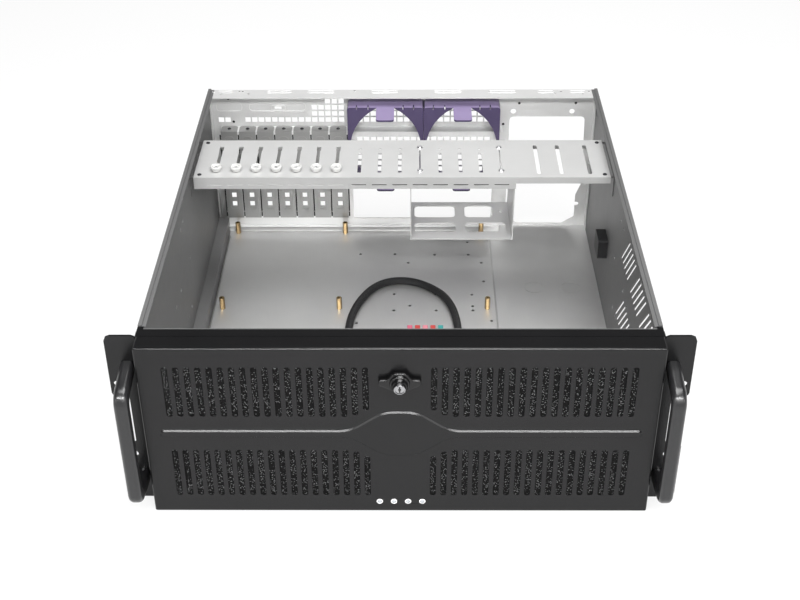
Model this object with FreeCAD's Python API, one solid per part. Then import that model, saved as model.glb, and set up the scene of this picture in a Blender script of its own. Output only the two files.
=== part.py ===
import FreeCAD, Part

import math
import os

from FreeCAD import Vector

# Rackmount server case, 4 rack units high, empty and without its top cover.
# Axes while modelling: X to the right, Y to the back with the door's face at Y = 0, Z up.
# All sizes are in millimetres.

os.makedirs("parts", exist_ok=True)

# ---- whole case ----
body_width = 430.0
body_height = 177.0
rack_width = 482.6
case_depth = 484.0
sheet = 1.0
lap = 0.2               # clearance where two pieces lie side by side
run_gap = 0.3           # clearance of a piece that slides
screw_gap = 0.1         # clearance of a screw in its hole

# ---- front ----
door_depth = 17.5
door_gap = 0.8
door_sheet = 1.2
door_inset = 0.5
panel_sheet = 1.2
panel_flange = 9.7
cheek_depth = 13.5
cheek_lap = 13.0
cheek_sheet = 1.0
stiffener_height = 18.0

# ---- side walls ----
wall_foot = 12.0
wall_lip = 3.2
wall_step = 1.3
wall_ledge = 3.2

# ---- floor ----
platform_height = 4.0
platform_slope = 3.0
platform_left = -200.0
platform_right = 99.0
platform_front = 60.0
platform_back_gap = 7.0
rail_height = 18.0
rail_width = 11.5

# ---- rear panel ----
rear_flange = 21.0
rear_side_flange = 12.0
recess_depth = 14.0
recess_left = -204.0
recess_right = 112.0
recess_top = 131.5
vent_size = 6.0
vent_pitch = 7.5
vent_row_above = 8.0     # first row of vents above the recess
vent_row_below = 9.3     # first row of vents below its top
vent_margin = 4.0        # metal left between a vent and a fold
vent_columns = 20        # across both fans
vent_block_gap = 20.6    # from the fans' first column to the block beside them

# ---- expansion slots and board ----
slot_count = 7
slot_pitch = 20.32
slot_first_x = -72.3
slot_width = 13.5
slot_bottom = 28.0
slot_top_gap = 9.0
cover_width = 18.4
cover_sheet = 0.8
cover_foot = 21.0
io_width = 158.75
io_height = 44.45
io_left = -57.0
io_bottom = 20.0
board_rows = (0.0, 154.94, 227.33)
board_columns = (0.0, 124.46, 281.94)
board_first_x = -191.5
board_edge = 10.16
standoff_across = 5.0
standoff_height = 14.0

# ---- power supply opening ----
psu_left = 119.7
psu_width = 84.0
psu_bottom = 4.6
psu_height = 138.6
psu_chamfer_x = 14.0
psu_chamfer_z = 9.0

# ---- fan holders ----
fan_holder_width = 84.0
fan_holder_height = 87.5
fan_holder_wall = 2.0
fan_top_drop = 12.0      # from the case's top edge
fan_opening = 79.0
fan_field_radius = 41.0
fan_field_drop = 3.2     # centre of the vents below the centre of the holder
fan_pair_x = 23.2
fan_pair_gap = 0.4
tongue_width = 19.6
tongue_length = 31.0

# ---- crossbeam ----
beam_drop = 17.0         # from the case's top edge
beam_front = 312.0
beam_depth = 81.0
beam_flange = 13.0
beam_low_flange = 7.0    # right part of the front flange
beam_back_flange = 10.0
beam_end_gap = 4.2
beam_leg = 22.0
beam_shelf = 16.0
beam_slot_width = 3.6
beam_slot_length = 53.0
beam_slot_offset = 5.8
beam_column_pitch = 20.6
beam_column_first = -43.4
hold_knob_radius = 5.6
hold_knob_height = 7.0

# ---- drive bracket ----
bracket_width = 106.0
bracket_drop = 75.0
bracket_depth = 76.0
bracket_left = 8.5
bracket_flange = 18.0
bracket_rim = 4.5
bracket_window = 43.0
bracket_window_gap = 10.5
bracket_corner = 4.0

# ---- ears and handles ----
ear_sheet = 2.0
rack_hole_spacing_x = 465.1
rack_hole_spacing_z = 76.2
rack_hole_width = 6.8
rack_hole_length = 12.0
ear_waist_height = 52.0
ear_waist_depth = 14.3
handle_width = 12.0
handle_thick = 12.0
handle_reach = 42.3
handle_height = 125.0
handle_slope = 7.0
handle_gap = 3.5

# ---- door details ----
air_slot_count = 19
air_slot_width = 4.7
air_slot_pitch = 9.05
air_slot_length = 51.0
air_slot_first = 28.0
air_slot_rise = 18.2     # from mid-height to the near end of a slot
band_length = 404.0
band_height = 8.2
band_raise = 1.2
crest_half = 42.0
crest_rise = 20.0
pivot_y = 6.5
pivot_z = 6.5
pin_radius = 2.0
lock_drop = 31.5         # from the case's top edge
led_pitch = 12.3
led_z = 12.1
window_radius = 2.4
filter_thick = 5.5

# ---- derived planes ----
half = body_width / 2
inner = half - sheet
mid_z = body_height / 2
beam_top = body_height - beam_drop
fan_centre_z = body_height - fan_top_drop - fan_holder_height / 2
lock_z = body_height - lock_drop
panel_y = door_depth + door_gap
panel_back = panel_y + panel_sheet
cheek_y = panel_y + cheek_depth
floor_top = 2 * sheet
platform_top = floor_top + platform_height
rear_in = case_depth - sheet
low_out = case_depth - recess_depth
low_in = low_out - sheet
wall_inner_lip = half - wall_lip - wall_ledge
flange_z = body_height - wall_step
handle_front = panel_y - handle_reach
mid_depth = (handle_front + case_depth) / 2


# ---- small construction helpers ----
PLANES = {
    "front": (lambda u, v: Vector(u, 0, v), Vector(0, 1, 0)),
    "floor": (lambda u, v: Vector(u, v, 0), Vector(0, 0, 1)),
    "side": (lambda u, v: Vector(0, u, v), Vector(1, 0, 0)),
}


chord_radius = 6.0       # below this a corner is drawn with two chords, above it with three


def rounded(start, end, centre, radius, chords):
    """Points of a corner's arc: its chords, or the marked middle point of a true arc."""
    first, last = start - centre, end - centre
    turn = first.getAngle(last)
    if not chords:
        middle = first + last
        middle.normalize()
        return [start, ("arc", centre + middle * radius), end]
    points = []
    for i in range(chords + 1):
        share = i / chords
        along = first * (math.sin((1 - share) * turn) / math.sin(turn))
        across = last * (math.sin(share * turn) / math.sin(turn))
        points.append(centre + along + across)
    return points


def outline(corners, plane, true_arcs=False):
    """Closed wire through (u, v) corners; a third number rounds that corner with a tangent arc.
    The arc is drawn with two or three chords, unless true_arcs asks for the arc itself."""
    place = PLANES[plane][0]
    stops = []
    for i, corner in enumerate(corners):
        here = place(corner[0], corner[1])
        if len(corner) == 2:
            stops.append([here])
            continue
        before = place(*corners[i - 1][:2]) - here
        after = place(*corners[(i + 1) % len(corners)][:2]) - here
        before.normalize()
        after.normalize()
        half_angle = before.getAngle(after) / 2
        bisector = before + after
        bisector.normalize()
        radius = corner[2]
        reach = radius / math.tan(half_angle)
        centre = here + bisector * (radius / math.sin(half_angle))
        start, end = here + before * reach, here + after * reach
        chords = 0 if true_arcs else 2 if radius < chord_radius else 3
        stops.append(rounded(start, end, centre, radius, chords))
    edges = []
    for i, stop in enumerate(stops):
        start, end = stop[0], stop[-1]
        if len(stop) == 3 and stop[1][0] == "arc":
            edges.append(Part.Arc(start, stop[1][1], end).toShape())
        else:
            edges += [Part.LineSegment(a, b).toShape() for a, b in zip(stop, stop[1:])]
        following = stops[(i + 1) % len(stops)][0]
        if end.distanceToPoint(following) > 1e-6:
            edges.append(Part.LineSegment(end, following).toShape())
    return Part.Wire(edges)


def rectangle(u0, u1, v0, v1, plane, radius=None, true_arcs=False):
    corners = [(u0, v0), (u1, v0), (u1, v1), (u0, v1)]
    if radius:
        corners = [(u, v, radius) for u, v in corners]
    return outline(corners, plane, true_arcs)


def drilled(u, v, radius, plane, sides=6):
    """Small round hole, drawn with flats."""
    turn = 2 * math.pi / sides
    return outline([(u + radius * math.cos(i * turn), v + radius * math.sin(i * turn)) for i in range(sides)], plane)


def bend(u, v, radius, first, last, chords):
    """Points of an arc about (u, v), its angles counted in degrees from the plane's first axis."""
    angles = [math.radians(first + (last - first) * i / chords) for i in range(chords + 1)]
    return [(u + radius * math.cos(a), v + radius * math.sin(a)) for a in angles]


def slot(start, end, width, plane, ends=3):
    """Slot between two end centres, each end a half circle drawn with a few flats."""
    along = math.atan2(end[1] - start[1], end[0] - start[0])
    corners = []
    for (u, v), turn in ((start, along + math.pi / 2), (end, along - math.pi / 2)):
        for step in range(ends + 1):
            angle = turn + math.pi * step / ends
            corners.append((u + width / 2 * math.cos(angle), v + width / 2 * math.sin(angle)))
    return outline(corners, plane)


def plate(plane, start, thickness, outer, holes=()):
    """Flat sheet with holes: a face in the named plane, moved to start and given its thickness."""
    normal = PLANES[plane][1]
    face = Part.makeFace([outer] + list(holes), "Part::FaceMakerBullseye")
    solid = face.extrude(normal * thickness)
    solid.translate(normal * start)
    return solid


def box(x0, x1, y0, y1, z0, z1):
    return Part.makeBox(x1 - x0, y1 - y0, z1 - z0, Vector(x0, y0, z0))


def pillar(radius, start, axis, length, sides=6):
    """Small round bar, drawn with flats, along one of the three axes."""
    name = "side" if axis[0] else "front" if axis[1] else "floor"
    u, v = {"side": (1, 2), "front": (0, 2), "floor": (0, 1)}[name]
    level = start[3 - u - v]
    lowest = level if sum(axis) > 0 else level - length
    return plate(name, lowest, length, drilled(start[u], start[v], radius, name, sides))


def join(*shapes):
    return shapes[0].multiFuse(list(shapes[1:])).removeSplitter()


def mirrored(shape):
    return shape.mirror(Vector(0, 0, 0), Vector(1, 0, 0))


def screw(point, axis, length, radius=1.5, head_radius=3.0, head_height=1.6):
    """Pan-head screw: point is under the head, axis runs from the head along the shank."""
    shank = pillar(radius, point, axis, length)
    head_start = tuple(p - a * head_height for p, a in zip(point, axis))
    return join(shank, pillar(head_radius, head_start, axis, head_height, 6))


def save(name, *solids):
    """Write one sub-part, moved so that the origin is the middle of the footprint."""
    shape = solids[0] if len(solids) == 1 else Part.makeCompound(list(solids))
    shape = shape.copy()
    shape.translate(Vector(0, -mid_depth, 0))
    assert shape.isValid(), name
    shape.exportStep("parts/" + name + ".step")


# ---- side walls: folded sheet, stepped flange at the top, foot under the floor ----
wall_holes = ((257.0, 142.0), (240.0, 142.0), (271.0, 91.0), (211.0, 91.0), (182.0, 91.0), (254.0, 42.5),
              (236.0, 42.5))
wall_hole_radius = 2.3
vent_length = 40.0
vent_slant = 0.9         # run forward for each millimetre of rise
vent_width = 4.0
vent_step = 9.5
vent_groups = ((178.0, 112.0), (118.0, 112.0), (62.0, 112.0), (178.0, 46.0), (118.0, 46.0), (62.0, 46.0))
vents_in_group = 5
ear_screw_z = (20.0, mid_z, body_height - 20.0)
screw_radius = 1.5
screw_hole = screw_radius + screw_gap


def wall_profile():
    """Section of the right wall across the case, as closed corners in X and Z."""
    return [(half, 0), (half, body_height), (half - wall_lip, body_height), (half - wall_lip, flange_z),
            (wall_inner_lip, flange_z), (wall_inner_lip, flange_z - sheet),
            (half - wall_lip + sheet, flange_z - sheet), (half - wall_lip + sheet, body_height - sheet),
            (inner, body_height - sheet), (inner, sheet), (half - wall_foot, sheet), (half - wall_foot, 0)]


def slanted_vents():
    """Groups of slanted vents, leaning towards the front as they rise."""
    vents = []
    for y0, z0 in vent_groups:
        for i in range(vents_in_group):
            y = y0 + i * vent_step + vent_slant * vent_length / 2
            top_y = y - vent_slant * vent_length
            vents.append(outline([(y, z0), (y + vent_width, z0), (top_y + vent_width, z0 + vent_length),
                                  (top_y, z0 + vent_length)], "side"))
    return vents


def side_wall(with_vents):
    profile = Part.Face(outline(wall_profile(), "front"))
    wall = profile.extrude(Vector(0, case_depth - cheek_y, 0))
    wall.translate(Vector(0, cheek_y, 0))
    cutters = [drilled(y, z, wall_hole_radius, "side") for y, z in wall_holes]
    if with_vents:
        cutters += slanted_vents()
    tools = [Part.Face(w).extrude(Vector(3 * sheet, 0, 0)) for w in cutters]
    for tool in tools:
        tool.translate(Vector(inner - sheet, 0, 0))
    return wall.cut(tools)


save("right_side_wall", side_wall(True))
save("left_side_wall", mirrored(side_wall(False)))


# ---- floor: flat sheet with a pressed platform for the board ----
platform_back = low_in - platform_back_gap
floor_back = rear_in - lap
knockout_centres = ((144.0, 350.0), (184.5, 350.0))
knockout_radius = 11.0
knockout_groove = 0.8
floor_holes = ((-48.0, 412.0), (-9.0, 412.0), (36.0, 411.0), (74.0, 411.0), (74.0, 438.0), (6.0, 394.0),
               (88.0, 394.0),
               (89.0, 356.0), (-9.0, 331.0), (36.0, 331.0), (75.0, 330.0), (8.0, 309.0), (75.0, 308.0),
               (-48.0, 301.0),
               (-9.0, 300.0), (36.0, 300.0), (75.0, 300.0), (-48.0, 277.0), (94.0, 281.0))
floor_hole_radius = 1.9
board_back = low_in - lap
standoff_places = [(board_first_x + c, board_back - board_edge - r) for r in board_rows for c in board_columns]
standoff_hole = 1.6


def platform_ring(grow, z):
    """Outline of the platform at one height, grown outwards by the slope."""
    wire = rectangle(platform_left - grow, platform_right + grow, platform_front - grow,
                     platform_back + grow,
                     "floor", 8.0 + grow)
    wire.translate(Vector(0, 0, z))
    return wire


def floor_pan():
    """One sheet: the platform is pressed up out of it, so its sloped rim has the sheet's thickness."""
    base = box(-inner + lap, inner - lap, panel_back + cheek_lap, floor_back, sheet, floor_top)
    hump = Part.makeLoft([platform_ring(platform_slope, sheet), platform_ring(0, platform_top)], True)
    hollow = Part.makeLoft([platform_ring(platform_slope - sheet, 0),
                            platform_ring(-sheet, platform_top - sheet)], True)
    pan = base.fuse(hump).cut(hollow)
    tools = [pillar(floor_hole_radius, (x, y, 0), (0, 0, 1), 2 * platform_top) for x, y in floor_holes]
    tools += [pillar(standoff_hole, (x, y, 0), (0, 0, 1), 2 * platform_top) for x, y in standoff_places]
    for x, y in knockout_centres:
        tools.append(plate("floor", floor_top - sheet / 2, sheet,
                           drilled(x, y, knockout_radius, "floor", 14),
                           [drilled(x, y, knockout_radius - knockout_groove, "floor", 14)]))
    return pan.cut(tools).removeSplitter()


save("floor_pan", floor_pan())

rail_top = floor_top + rail_height
rail_side = -inner + rail_width
left_rail = join(box(-inner, rail_side, cheek_y, low_in - lap, rail_top - sheet, rail_top),
                 box(rail_side - sheet, rail_side, cheek_y, low_in - lap, floor_top, rail_top))
save("left_floor_rail", left_rail)


# ---- brass stand-offs: hexagonal pillars with a threaded foot through the platform ----
def standoff(x, y):
    radius = standoff_across / 2 / math.cos(math.pi / 6)
    corners = [(x + radius * math.cos(math.pi * i / 3), y + radius * math.sin(math.pi * i / 3)) for i in range(6)]
    body = plate("floor", platform_top, standoff_height, outline(corners, "floor"),
                 [drilled(x, y, 1.5, "floor")])
    foot = pillar(standoff_hole - screw_gap, (x, y, platform_top - sheet - 1.5), (0, 0, 1), sheet + 4.5)
    return body.fuse(foot)


save("board_standoffs", *[standoff(x, y) for x, y in standoff_places])


# ---- rear panel ----
slot_centres = [slot_first_x - slot_pitch * i for i in range(slot_count)]
fan_centres = [fan_pair_x - (fan_holder_width + fan_pair_gap) / 2,
               fan_pair_x + (fan_holder_width + fan_pair_gap) / 2]
vent_first_x = fan_pair_x - vent_pitch * (vent_columns - 1) / 2
vent_block_x = vent_first_x - vent_block_gap
vent_first_z = recess_top + vent_row_above
slot_top = recess_top - slot_top_gap
cover_screw_y = low_out + 5.0
psu_holes = ((123.5, 149.5, 3.3), (188.9, 149.5, 3.1))
lip_height = 8.5
lip_depth = 5.0
psu_notch_radius = 2.3
psu_notch_reach = 2.2
psu_notch_z = 31.0
connector_slot = (-143.0, -135.2, 152.6, 155.8)


def square(x, z):
    r = vent_size / 2
    return rectangle(x - r, x + r, z - r, z + r, "front")


def vents_above():
    """Square vents of the upper panel: a long bottom row, a stepped block and the fan fields."""
    highest = flange_z - 2 * sheet - vent_margin - vent_size / 2
    rows = int((highest - vent_first_z) / vent_pitch) + 1
    holes = [square(vent_block_x - vent_pitch * i, vent_first_z) for i in (*range(15), 17, 18)]
    for row, count in ((1, 5), (2, 5), (3, 3)):
        if row < rows:
            holes += [square(vent_block_x - vent_pitch * i, vent_first_z + vent_pitch * row) for i in range(count)]
    holes += fan_vents([vent_first_z + vent_pitch * row for row in range(rows)], vent_first_z)
    return holes


def fan_vents(rows, full_row):
    """Rows of vents behind the fans: one full row, the others only where a fan blows."""
    holes = []
    centre_z = fan_centre_z - fan_field_drop
    for z in rows:
        for i in range(vent_columns):
            x = vent_first_x + vent_pitch * i
            inside = any(math.hypot(x - c, z - centre_z) < fan_field_radius for c in fan_centres)
            if inside or z == full_row:
                holes.append(square(x, z))
    return holes


def psu_outline():
    """Power supply opening: bevelled foot, a notch in its right edge and a wider part above it."""
    x0, x1 = psu_left, psu_left + psu_width
    z0, z1 = psu_bottom, psu_bottom + psu_height
    waist = x1 - 3.5
    notch = bend(waist + psu_notch_reach, psu_notch_z, psu_notch_radius, -90, 90, 4)
    return outline([(x0 + psu_chamfer_x, z0, 2), (waist - psu_chamfer_x, z0, 2),
                    (waist, z0 + psu_chamfer_z, 2),
                    (waist, psu_notch_z - psu_notch_radius), *notch, (waist, psu_notch_z + psu_notch_radius),
                    (waist, psu_notch_z + 11.5, 3), (x1 + 2.5, psu_notch_z + 27.5, 3), (x1, z1, 4),
                    (x0, z1, 4),
                    (x0, z0 + psu_chamfer_z, 2)], "front")


def upper_panel():
    """Outer plane of the rear: everything beside and above the recess."""
    outer = outline([(-inner + lap, floor_top), (recess_left, floor_top), (recess_left, recess_top),
                     (recess_right, recess_top), (recess_right, floor_top), (inner - lap, floor_top),
                     (inner - lap, flange_z - 2 * sheet), (-inner + lap, flange_z - 2 * sheet)], "front")
    holes = vents_above() + [psu_outline(), rectangle(*connector_slot, "front")]
    holes += [drilled(x, z, r, "front", 8) for x, z, r in psu_holes]
    return plate("front", rear_in, sheet, outer, holes)


def lower_panel():
    """Recessed plane with the expansion slots, the I/O opening and the lower fan vents."""
    outer = rectangle(recess_left, recess_right, floor_top, recess_top, "front")
    holes = [rectangle(x - slot_width / 2, x + slot_width / 2, slot_bottom, slot_top,
                       "front") for x in slot_centres]
    holes.append(rectangle(io_left, io_left + io_width, io_bottom, io_bottom + io_height, "front", 1.0))
    first = recess_top - vent_row_below
    holes += fan_vents([first - vent_pitch * row for row in range(7)], first)
    return plate("front", low_in, sheet, outer, holes)


def rear_top_flange():
    """Flange for the top cover, with its screw holes."""
    flange_half = wall_inner_lip - lap
    holes = [drilled(x, case_depth - rear_flange / 2, 1.7, "floor") for x in (-200.0, -170.0, 167.0, 198.0)]
    outer = rectangle(-flange_half, flange_half, case_depth - rear_flange, case_depth, "floor")
    return plate("floor", flange_z - sheet, sheet, outer, holes)


def rear_panel():
    ledge_holes = [drilled(x, cover_screw_y, screw_hole, "floor") for x in slot_centres]
    ledge = plate("floor", recess_top - sheet, sheet,
                  rectangle(recess_left, recess_right, low_in, case_depth, "floor"), ledge_holes)
    cheeks = [box(x, x + sheet, low_in, case_depth, floor_top, recess_top) for x in (recess_left,
                                                                                     recess_right - sheet)]
    returns = [box(x, x + sheet, case_depth - rear_side_flange, case_depth, floor_top, flange_z - 2 * sheet)
               for x in (-inner + lap, inner - lap - sheet)]
    riser = box(-wall_inner_lip + lap, wall_inner_lip - lap, rear_in, case_depth,
                flange_z - 2 * sheet - 0.5, flange_z)
    lip_z = floor_top + lip_height
    slot_lip = box(rail_side + lap, recess_right - 2 * sheet, low_in - lip_depth, low_in, lip_z,
                   lip_z + sheet)
    return join(upper_panel(), lower_panel(), ledge, *cheeks, *returns, riser, slot_lip, rear_top_flange())


save("rear_panel", rear_panel())


# ---- expansion slot covers, each hung on the ledge by a bent tab and a screw ----
cover_window = 6.0
cover_window_width = 5.2
cover_window_pitch = 11.2
cover_rib = 0.6
cover_rib_half = 5.2
cover_rib_corner = 3.0


def slot_cover(x):
    """Steel strip with two windows, a raised rib round them and a tab bent over the ledge."""
    face_y = low_in - cover_sheet
    side = cover_window_width / 2
    windows = [rectangle(x - side, x + side, slot_bottom + 9 + cover_window_pitch * i,
                         slot_bottom + 9 + cover_window_pitch * i + cover_window, "front") for i in range(2)]
    face = plate("front", face_y, cover_sheet,
                 rectangle(x - cover_width / 2, x + cover_width / 2, cover_foot, recess_top, "front"),
                 windows)
    tab = plate("floor", recess_top, cover_sheet,
                outline([(x - cover_width / 2, face_y), (x + cover_width / 2, face_y),
                         (x + cover_width / 2, rear_in - 1, 3),
                         (x - cover_width / 2, rear_in - 1, 3)], "floor"),
                [drilled(x, cover_screw_y, screw_hole, "floor")])
    rib_foot, rib_top = slot_bottom + 4.0, recess_top - 5.5
    rings = [rectangle(x - half_width, x + half_width, rib_foot + inset, rib_top - inset, "front",
                       cover_rib_corner - inset)
             for half_width, inset in ((cover_rib_half, 0), (cover_rib_half - 1.0, 1.0))]
    rib = plate("front", face_y - cover_rib, cover_rib, rings[0], [rings[1]])
    return join(face, tab, rib)


for number, x in enumerate(slot_centres, 1):
    save("slot_cover_%d" % number, slot_cover(x))
save("slot_cover_screws", *[screw((x, cover_screw_y, recess_top + cover_sheet), (0, 0, -1),
                                  4.0) for x in slot_centres])


# ---- fan holders: open-backed frames with a round opening and a release tongue above and below ----
tongue_thick = 2.0
arch_radius = 55.0       # the opening's two upper sides
arch_rim = 0.8           # left above the opening
notch_places = (-31.6, -19.0, 19.5, 31.0)


def fan_opening_outline(cx, top, bottom):
    """Opening of a holder: flat under the tongues, two wide arcs above and two tighter ones below."""
    half_open, flat = fan_opening / 2, tongue_width / 2
    rise = math.sqrt(arch_radius ** 2 - (flat + arch_radius - half_open) ** 2)
    middle = top - arch_rim - rise
    low = bottom + fan_holder_wall
    low_radius = ((half_open - flat) ** 2 + (middle - low) ** 2) / (2 * (half_open - flat))
    up = math.degrees(math.asin(rise / arch_radius))
    down = math.degrees(math.asin((middle - low) / low_radius))
    right = bend(half_open - low_radius, middle, low_radius, -down, 0, 5)
    right += bend(half_open - arch_radius, middle, arch_radius, 0, up, 7)[1:]
    corners = [(cx + x, z) for x, z in right] + [(cx - x, z) for x, z in reversed(right)]
    return outline(corners, "front")


def fan_holder(cx):
    front = low_in - lap - 8.0
    back = rear_in - lap
    top = fan_centre_z + fan_holder_height / 2
    bottom = fan_centre_z - fan_holder_height / 2
    left, right = cx - fan_holder_width / 2, cx + fan_holder_width / 2
    wall = fan_holder_wall
    shell = Part.Face(rectangle(left, right, bottom, top, "front", 3.0)).extrude(Vector(0, back - front, 0))
    cavity = Part.Face(rectangle(left + wall, right - wall, bottom + wall, top - wall, "front", 2.0))
    cavity = cavity.extrude(Vector(0, back - front, 0))
    cavity.translate(Vector(0, wall, 0))
    shell = shell.cut(cavity)
    shell.translate(Vector(0, front, 0))
    below_ledge = box(left - 1, right + 1, low_in - lap, back + 1, bottom - 1, recess_top + lap)
    opening = Part.Face(fan_opening_outline(cx, top, bottom)).extrude(Vector(0, wall + 2, 0))
    opening.translate(Vector(0, front - 1, 0))
    cuts = [below_ledge, opening]
    cuts += [box(cx + n - 0.6, cx + n + 0.6, front - 1, front + 6, top - wall - 1,
                 top + 1) for n in notch_places]
    shell = shell.cut(cuts)
    tongue_outline = outline([(cx - tongue_width / 2, front + wall),
                              (cx - tongue_width / 2, front - tongue_length, 3),
                              (cx + tongue_width / 2, front - tongue_length, 3),
                              (cx + tongue_width / 2, front + wall)],
                             "floor")
    upper = plate("floor", top - tongue_thick, tongue_thick, tongue_outline)
    lower = plate("floor", bottom, tongue_thick, tongue_outline)
    return join(shell, upper, lower)


save("fan_holder_left", fan_holder(fan_centres[0]))
save("fan_holder_right", fan_holder(fan_centres[1]))


# ---- crossbeam: inverted channel across the case, on brackets fixed to the walls ----
beam_half = inner - beam_end_gap
beam_back = beam_front + beam_depth
beam_under = beam_top - sheet
beam_slot_front = beam_front + (beam_depth - beam_slot_length) / 2 - 2.0
hold_xs = [x + beam_slot_offset for x in slot_centres]
beam_columns = [beam_column_first + beam_column_pitch * i for i in range(8)]
bracket_columns = (beam_columns[3], beam_columns[7])
bracket_screw_ys = (beam_front + 14.0, beam_back - 17.0)
beam_screw_x = beam_half - 5.5
beam_screw_ys = (beam_front + 6.0, beam_back - 6.0)
beam_long_slots = (138.5, 161.5, 190.0)
beam_step_x = 115.0      # right of this the front flange is low
slit_width = 1.2
key_width = 4.6          # wide back end of a hold-down's slot
key_length = 9.0
row_slot_length = 42.0
dash_length = 15.0
dash_height = 1.2


def keyhole(x):
    """Slot of a hold-down, wider at its back end."""
    y0, y1 = beam_slot_front - beam_slot_width / 2, beam_slot_front + beam_slot_length + beam_slot_width / 2
    narrow, wide = beam_slot_width / 2, key_width / 2
    right = [(x + narrow, y0), (x + narrow, y1 - key_length), (x + wide, y1 - key_length), (x + wide, y1)]
    return outline(right + [(2 * x - u, v) for u, v in reversed(right)], "floor")


def bracket_slit(x):
    """Narrow slit between two screws of the drive bracket."""
    return rectangle(x - slit_width / 2, x + slit_width / 2, bracket_screw_ys[0] + 4.0,
                     bracket_screw_ys[1] - 4.0, "floor")


def beam_top_holes():
    holes = [keyhole(x) for x in hold_xs]
    for x in beam_columns:
        if x in bracket_columns:
            holes.append(bracket_slit(x))
            holes += [drilled(x, y, screw_hole, "floor") for y in bracket_screw_ys]
            continue
        holes.append(drilled(x, beam_back - 20.0, 1.7, "floor"))
        holes.append(rectangle(x - beam_slot_width / 2, x + beam_slot_width / 2, beam_front + 10.5,
                               beam_front + 10.5 + row_slot_length, "floor"))
    for x in beam_long_slots:
        holes.append(slot((x, beam_front + 9.0), (x, beam_back - 13.0), 4.2, "floor"))
    for x in (-beam_screw_x, beam_screw_x):
        holes += [drilled(x, y, screw_hole, "floor") for y in beam_screw_ys]
    return holes


def crossbeam():
    """Inverted channel; its front flange is hemmed inwards and steps up at the right."""
    top = plate("floor", beam_under, sheet, rectangle(-beam_half, beam_half, beam_front, beam_back, "floor"),
                beam_top_holes())
    foot = beam_top - beam_flange
    dash_z = foot + 4.0
    dashes = [rectangle(x - dash_length / 2, x + dash_length / 2, dash_z, dash_z + dash_height, "front")
              for x in hold_xs + beam_columns]
    front_outline = outline([(-beam_half, foot), (beam_step_x, foot),
                             (beam_step_x, beam_top - beam_low_flange),
                             (beam_half, beam_top - beam_low_flange), (beam_half, beam_top),
                             (-beam_half, beam_top)],
                            "front")
    front = plate("front", beam_front, sheet, front_outline, dashes)
    hem = box(-beam_half, beam_step_x, beam_front + sheet, beam_front + 2 * sheet, foot,
              beam_top - beam_low_flange)
    back = box(-beam_half, beam_half, beam_back - sheet, beam_back, beam_top - beam_back_flange, beam_top)
    return join(top, front, hem, back)


def beam_bracket():
    """Angle on the wall, with the beam's end screwed down on its shelf; the shelf is open beside the beam."""
    front, back = beam_front + 2 * sheet, beam_back - 2 * sheet
    gap = rectangle(beam_half - 0.4, inner - 1.2 * sheet, front + 2.5, back - 2.5, "floor")
    shelf = plate("floor", beam_under - sheet, sheet, rectangle(inner - beam_shelf, inner, front, back,
                                                                "floor"),
                  [drilled(beam_screw_x, y, screw_hole, "floor") for y in beam_screw_ys] + [gap])
    leg = box(inner - sheet, inner, front, back, beam_under - beam_leg, beam_under - sheet)
    return join(shelf, leg)


save("crossbeam", crossbeam())
save("beam_bracket_right", beam_bracket())
save("beam_bracket_left", mirrored(beam_bracket()))
save("beam_screws", *[screw((x, y, beam_top), (0, 0, -1), 5.0, head_radius=2.4)
                      for x in (-beam_screw_x, beam_screw_x) for y in beam_screw_ys])


# ---- card hold-downs: thumb screws that slide along the beam's slots ----
hold_y = beam_slot_front + 3.0


def hold_down(x):
    base = beam_top + run_gap
    body = pillar(hold_knob_radius - 1.5, (x, hold_y, base), (0, 0, 1), hold_knob_height - 2.0, 8)
    rim = pillar(hold_knob_radius, (x, hold_y, base + hold_knob_height - 2.2), (0, 0, 1), 2.2, 8)
    shank = pillar(beam_slot_width / 2 - run_gap, (x, hold_y, beam_under - run_gap - 3.0), (0, 0, 1),
                   sheet + 8.0)
    nut = box(x - 4, x + 4, hold_y - 4, hold_y + 4, beam_under - run_gap - 3.0, beam_under - run_gap)
    return join(body, rim, shank, nut)


for number, x in enumerate(hold_xs, 1):
    save("hold_down_%d" % number, hold_down(x))


# ---- drive bracket: U-shaped tray screwed up against the beam ----
def drive_bracket():
    x0, x1 = bracket_left, bracket_left + bracket_width
    y0, y1 = beam_front + 3.0, beam_front + 3.0 + bracket_depth
    z0 = beam_top - bracket_drop
    top = beam_under
    first = x0 + bracket_rim
    second = first + bracket_window + bracket_window_gap
    third = x1 - bracket_flange
    windows = [rectangle(first, first + bracket_window, y0 + 44.0, y0 + 68.0, "floor", bracket_corner),
               rectangle(second, third, y0 + 44.0, y0 + 68.0, "floor", bracket_corner),
               rectangle(first, first + bracket_window, y0 + 14.0, y0 + 33.0, "floor", bracket_corner),
               rectangle(second, x1 - bracket_rim - sheet, y0 + 14.0, y0 + 33.0, "floor", bracket_corner),
               drilled(x1 - bracket_flange / 2, y0 + 56.0, 2.0, "floor")]
    bottom = plate("floor", z0, sheet, rectangle(x0, x1, y0, y1, "floor"), windows)
    side_holes = [drilled(y0 + u, z0 + v, 1.8, "side") for u in (16.0, 60.0) for v in (8.0, 34.0)]
    side_outline = rectangle(y0, y1, z0, top, "side")
    left = plate("side", x0, sheet, side_outline, side_holes)
    right = plate("side", x1 - sheet, sheet, side_outline, side_holes)
    flanges = []
    for column, edge, far in ((bracket_columns[0], x0, x0 + bracket_flange),
                              (bracket_columns[1], x1 - bracket_flange, x1)):
        holes = [drilled(column, y, screw_hole, "floor") for y in bracket_screw_ys] + [bracket_slit(column)]
        flanges.append(plate("floor", top - sheet, sheet, rectangle(edge, far, y0, y1, "floor"), holes))
    return join(bottom, left, right, *flanges)


save("drive_bracket", drive_bracket())
save("bracket_screws", *[screw((x, y, beam_top), (0, 0, -1), 5.0) for x in bracket_columns for y in bracket_screw_ys])


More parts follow.
